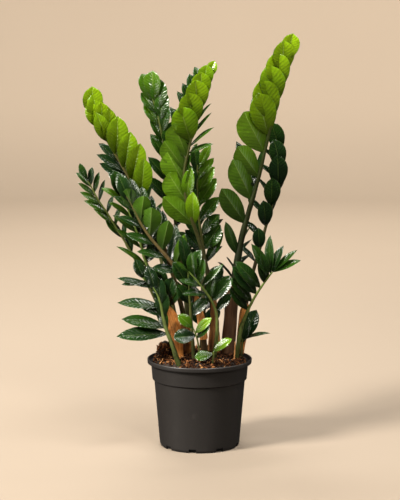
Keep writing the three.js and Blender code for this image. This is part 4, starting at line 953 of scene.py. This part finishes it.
def make_sheath(name, given, frond, path):
    seed = frond["seed"]
    # The CAD's sheath has flat sides a quarter of its sweep wide, so its corners stand further out.
    corner = math.cos(math.radians(given["sweep"] / 4) / 2)
    v = np.linspace(-1, 1, SHEATH.columns)
    top, under, ups = [], [], np.arange(SHEATH.rows + 1) / SHEATH.rows
    for s in ups:
        t = (given["start"] + (given["end"] - given["start"]) * s) / 100
        along = path.along(t)
        right = across((1, 0, 0), along)
        front = np.cross(right, along)
        clear = (radius_at(frond["radius"], max(t, 0)) + GAP + given["slack"]) / corner
        spread = given["sweep"] / 2 * math.sqrt(max(0, 1 - s * s))
        ragged = 1 + SHEATH.fray * np.sin(9 * s * (1 + v) + seed) * np.abs(v)
        angle = np.radians(given["turn"] + given["lean"] * s + spread * v * ragged)[:, None]
        out = right * np.sin(angle) + front * np.cos(angle)
        ripple = 0.35 * np.sin(v * 11 + seed) + 0.3 * np.sin(s * 13 + v * 3)
        reach = clear + SHEATH.clear + given["flare"] * s + ripple + SHEATH.curl * v * v * s
        top.append(path.at(t) + out * (reach + SHEATH.thick / 2)[:, None])
        under.append(path.at(t) + out * (reach - SHEATH.thick / 2)[:, None])
    u_values, v_values = np.meshgrid(ups, v, indexing="ij")
    shown = dict(leaf_u=u_values, leaf_v=v_values)
    builder = Builder()
    builder.grid(np.array(top), 0, tone=given["tone"], **shown)
    builder.grid(np.array(under), 0, flip=True, tone=given["tone"] * 0.7, **shown)
    piece = builder.make(f"{name}_scale", [MATERIALS["sheath"]])
    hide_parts(name)
    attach(piece, "root")


# ---- stage, light and camera

# A round stage, in mm, so that every side of the plant has a pale ground behind it.
STAGE = Numbers(radius=5200, bend=1300, height=5200, rings=(1200, 2600), bend_steps=12, sides=96)

# Lights, in metres and watts. Those with diffuse=False add only gloss.
WARM = (1, 0.94, 0.86)
CLEAR = (1, 0.98, 0.95)
LIGHTS = {
    "key": dict(place=(-2.9, -1.9, 2.7), target=(0, 0, 0.36), size=(1, 1), power=500),
    "front": dict(place=(0.6, -1.6, 1.45), target=(0, 0, 0.4), size=(0.4, 0.4), power=22),
    "top": dict(place=(0.4, -0.6, 2), target=(0, 0, 0.3), size=(0.9, 0.35), power=34, colour=CLEAR),
    "back": dict(place=(-0.35, 0.9, 1.8), target=(0, 0, 0.42), size=(0.9, 0.4), power=32, colour=CLEAR,
                 glossy=False),
    "sheen": dict(place=(0.55, -1.75, 1.35), target=(0, 0, 0.4), size=(0.25, 0.5), power=9, diffuse=False),
    "high_sheen": dict(place=(0.5, -1.1, 1.75), target=(0, 0, 0.3), size=(0.5, 0.3), power=5.5,
                       diffuse=False),
    "left_sheen": dict(place=(-2, -1, 0.22), target=(0, 0, 0.08), size=(0.35, 0.6), power=13, diffuse=False),
    "right_sheen": dict(place=(1.9, 0.3, 0.5), target=(0, 0, 0.15), size=(0.4, 1), power=3, diffuse=False),
    "wall_wash": dict(place=(0.4, 2, 3), target=(0, 4.9, 0.3), size=(2.8, 0.6), power=275),
}
WORLD = Numbers(colour=(1, 0.9, 0.8, 1), strength=0.05)

# The photo's size, focal length and middle column in pixels, and the camera's place in metres.
PHOTO = Numbers(width=400, height=500, focal=1566.2, middle=199.6)
CAMERA = Numbers(distance=2.5, height=0.6595, pitch_down=0.135063, film=36)


def make_stage():
    bend, flat = STAGE.bend, STAGE.radius - STAGE.bend
    profile = [(CENTRE, 0), *((ring, 0) for ring in STAGE.rings), (flat, 0)]
    for k in range(1, STAGE.bend_steps + 1):
        angle = math.pi / 2 * k / STAGE.bend_steps
        profile.append((flat + bend * math.sin(angle), bend - bend * math.cos(angle)))
    profile.append((STAGE.radius, STAGE.height))
    builder = Builder()
    builder.revolve(profile, STAGE.sides)
    floor = builder.make("floor", [floor_material()])
    floor.visible_glossy = False


def add_light(name, place, target, size, power, colour=WARM, diffuse=True, glossy=True):
    data = bpy.data.lights.new(name, "AREA")
    data.shape = "RECTANGLE"
    data.size, data.size_y = size
    data.energy = power
    data.color = colour
    light = new_object(name, data)
    light.visible_camera = False
    light.visible_diffuse = diffuse
    light.visible_glossy = glossy
    light.location = place
    light.rotation_euler = (Vector(target) - Vector(place)).to_track_quat("-Z", "Y").to_euler()


def make_lights():
    world = bpy.data.worlds.new("studio")
    world.use_nodes = True
    background = world.node_tree.nodes["Background"]
    background.inputs["Color"].default_value = WORLD.colour
    background.inputs["Strength"].default_value = WORLD.strength
    bpy.context.scene.world = world
    for name, given in LIGHTS.items():
        add_light(name, **given)


def make_camera():
    data = bpy.data.cameras.new("camera")
    data.sensor_width = CAMERA.film
    data.lens = PHOTO.focal / PHOTO.height * CAMERA.film
    data.shift_x = (PHOTO.width / 2 - PHOTO.middle) / PHOTO.height
    data.clip_end = 50
    data.dof.use_dof = False
    camera = new_object("camera", data)
    camera.location = (0, -CAMERA.distance, CAMERA.height)
    camera.rotation_euler = (math.pi / 2 - CAMERA.pitch_down, 0, 0)
    bpy.context.scene.camera = camera


# ---- the scene

make_camera()
make_lights()
make_stage()
paths = {name: Path(frond["path"]) for name, frond in FRONDS.items()}
make_pot()
make_soil()
make_bark([(*paths[name].points[0][:2], frond["radius"][0]) for name, frond in FRONDS.items()])
for name, given in SHEATHS.items():
    make_sheath(name, given, FRONDS[given["frond"]], paths[given["frond"]])
for name, frond in FRONDS.items():
    make_frond(name, frond, paths[name])
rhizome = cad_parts["rhizome"]
rhizome.data.materials.clear()
rhizome.data.materials.append(MATERIALS["rhizome"])

bpy.context.scene.view_settings.view_transform = "Standard"
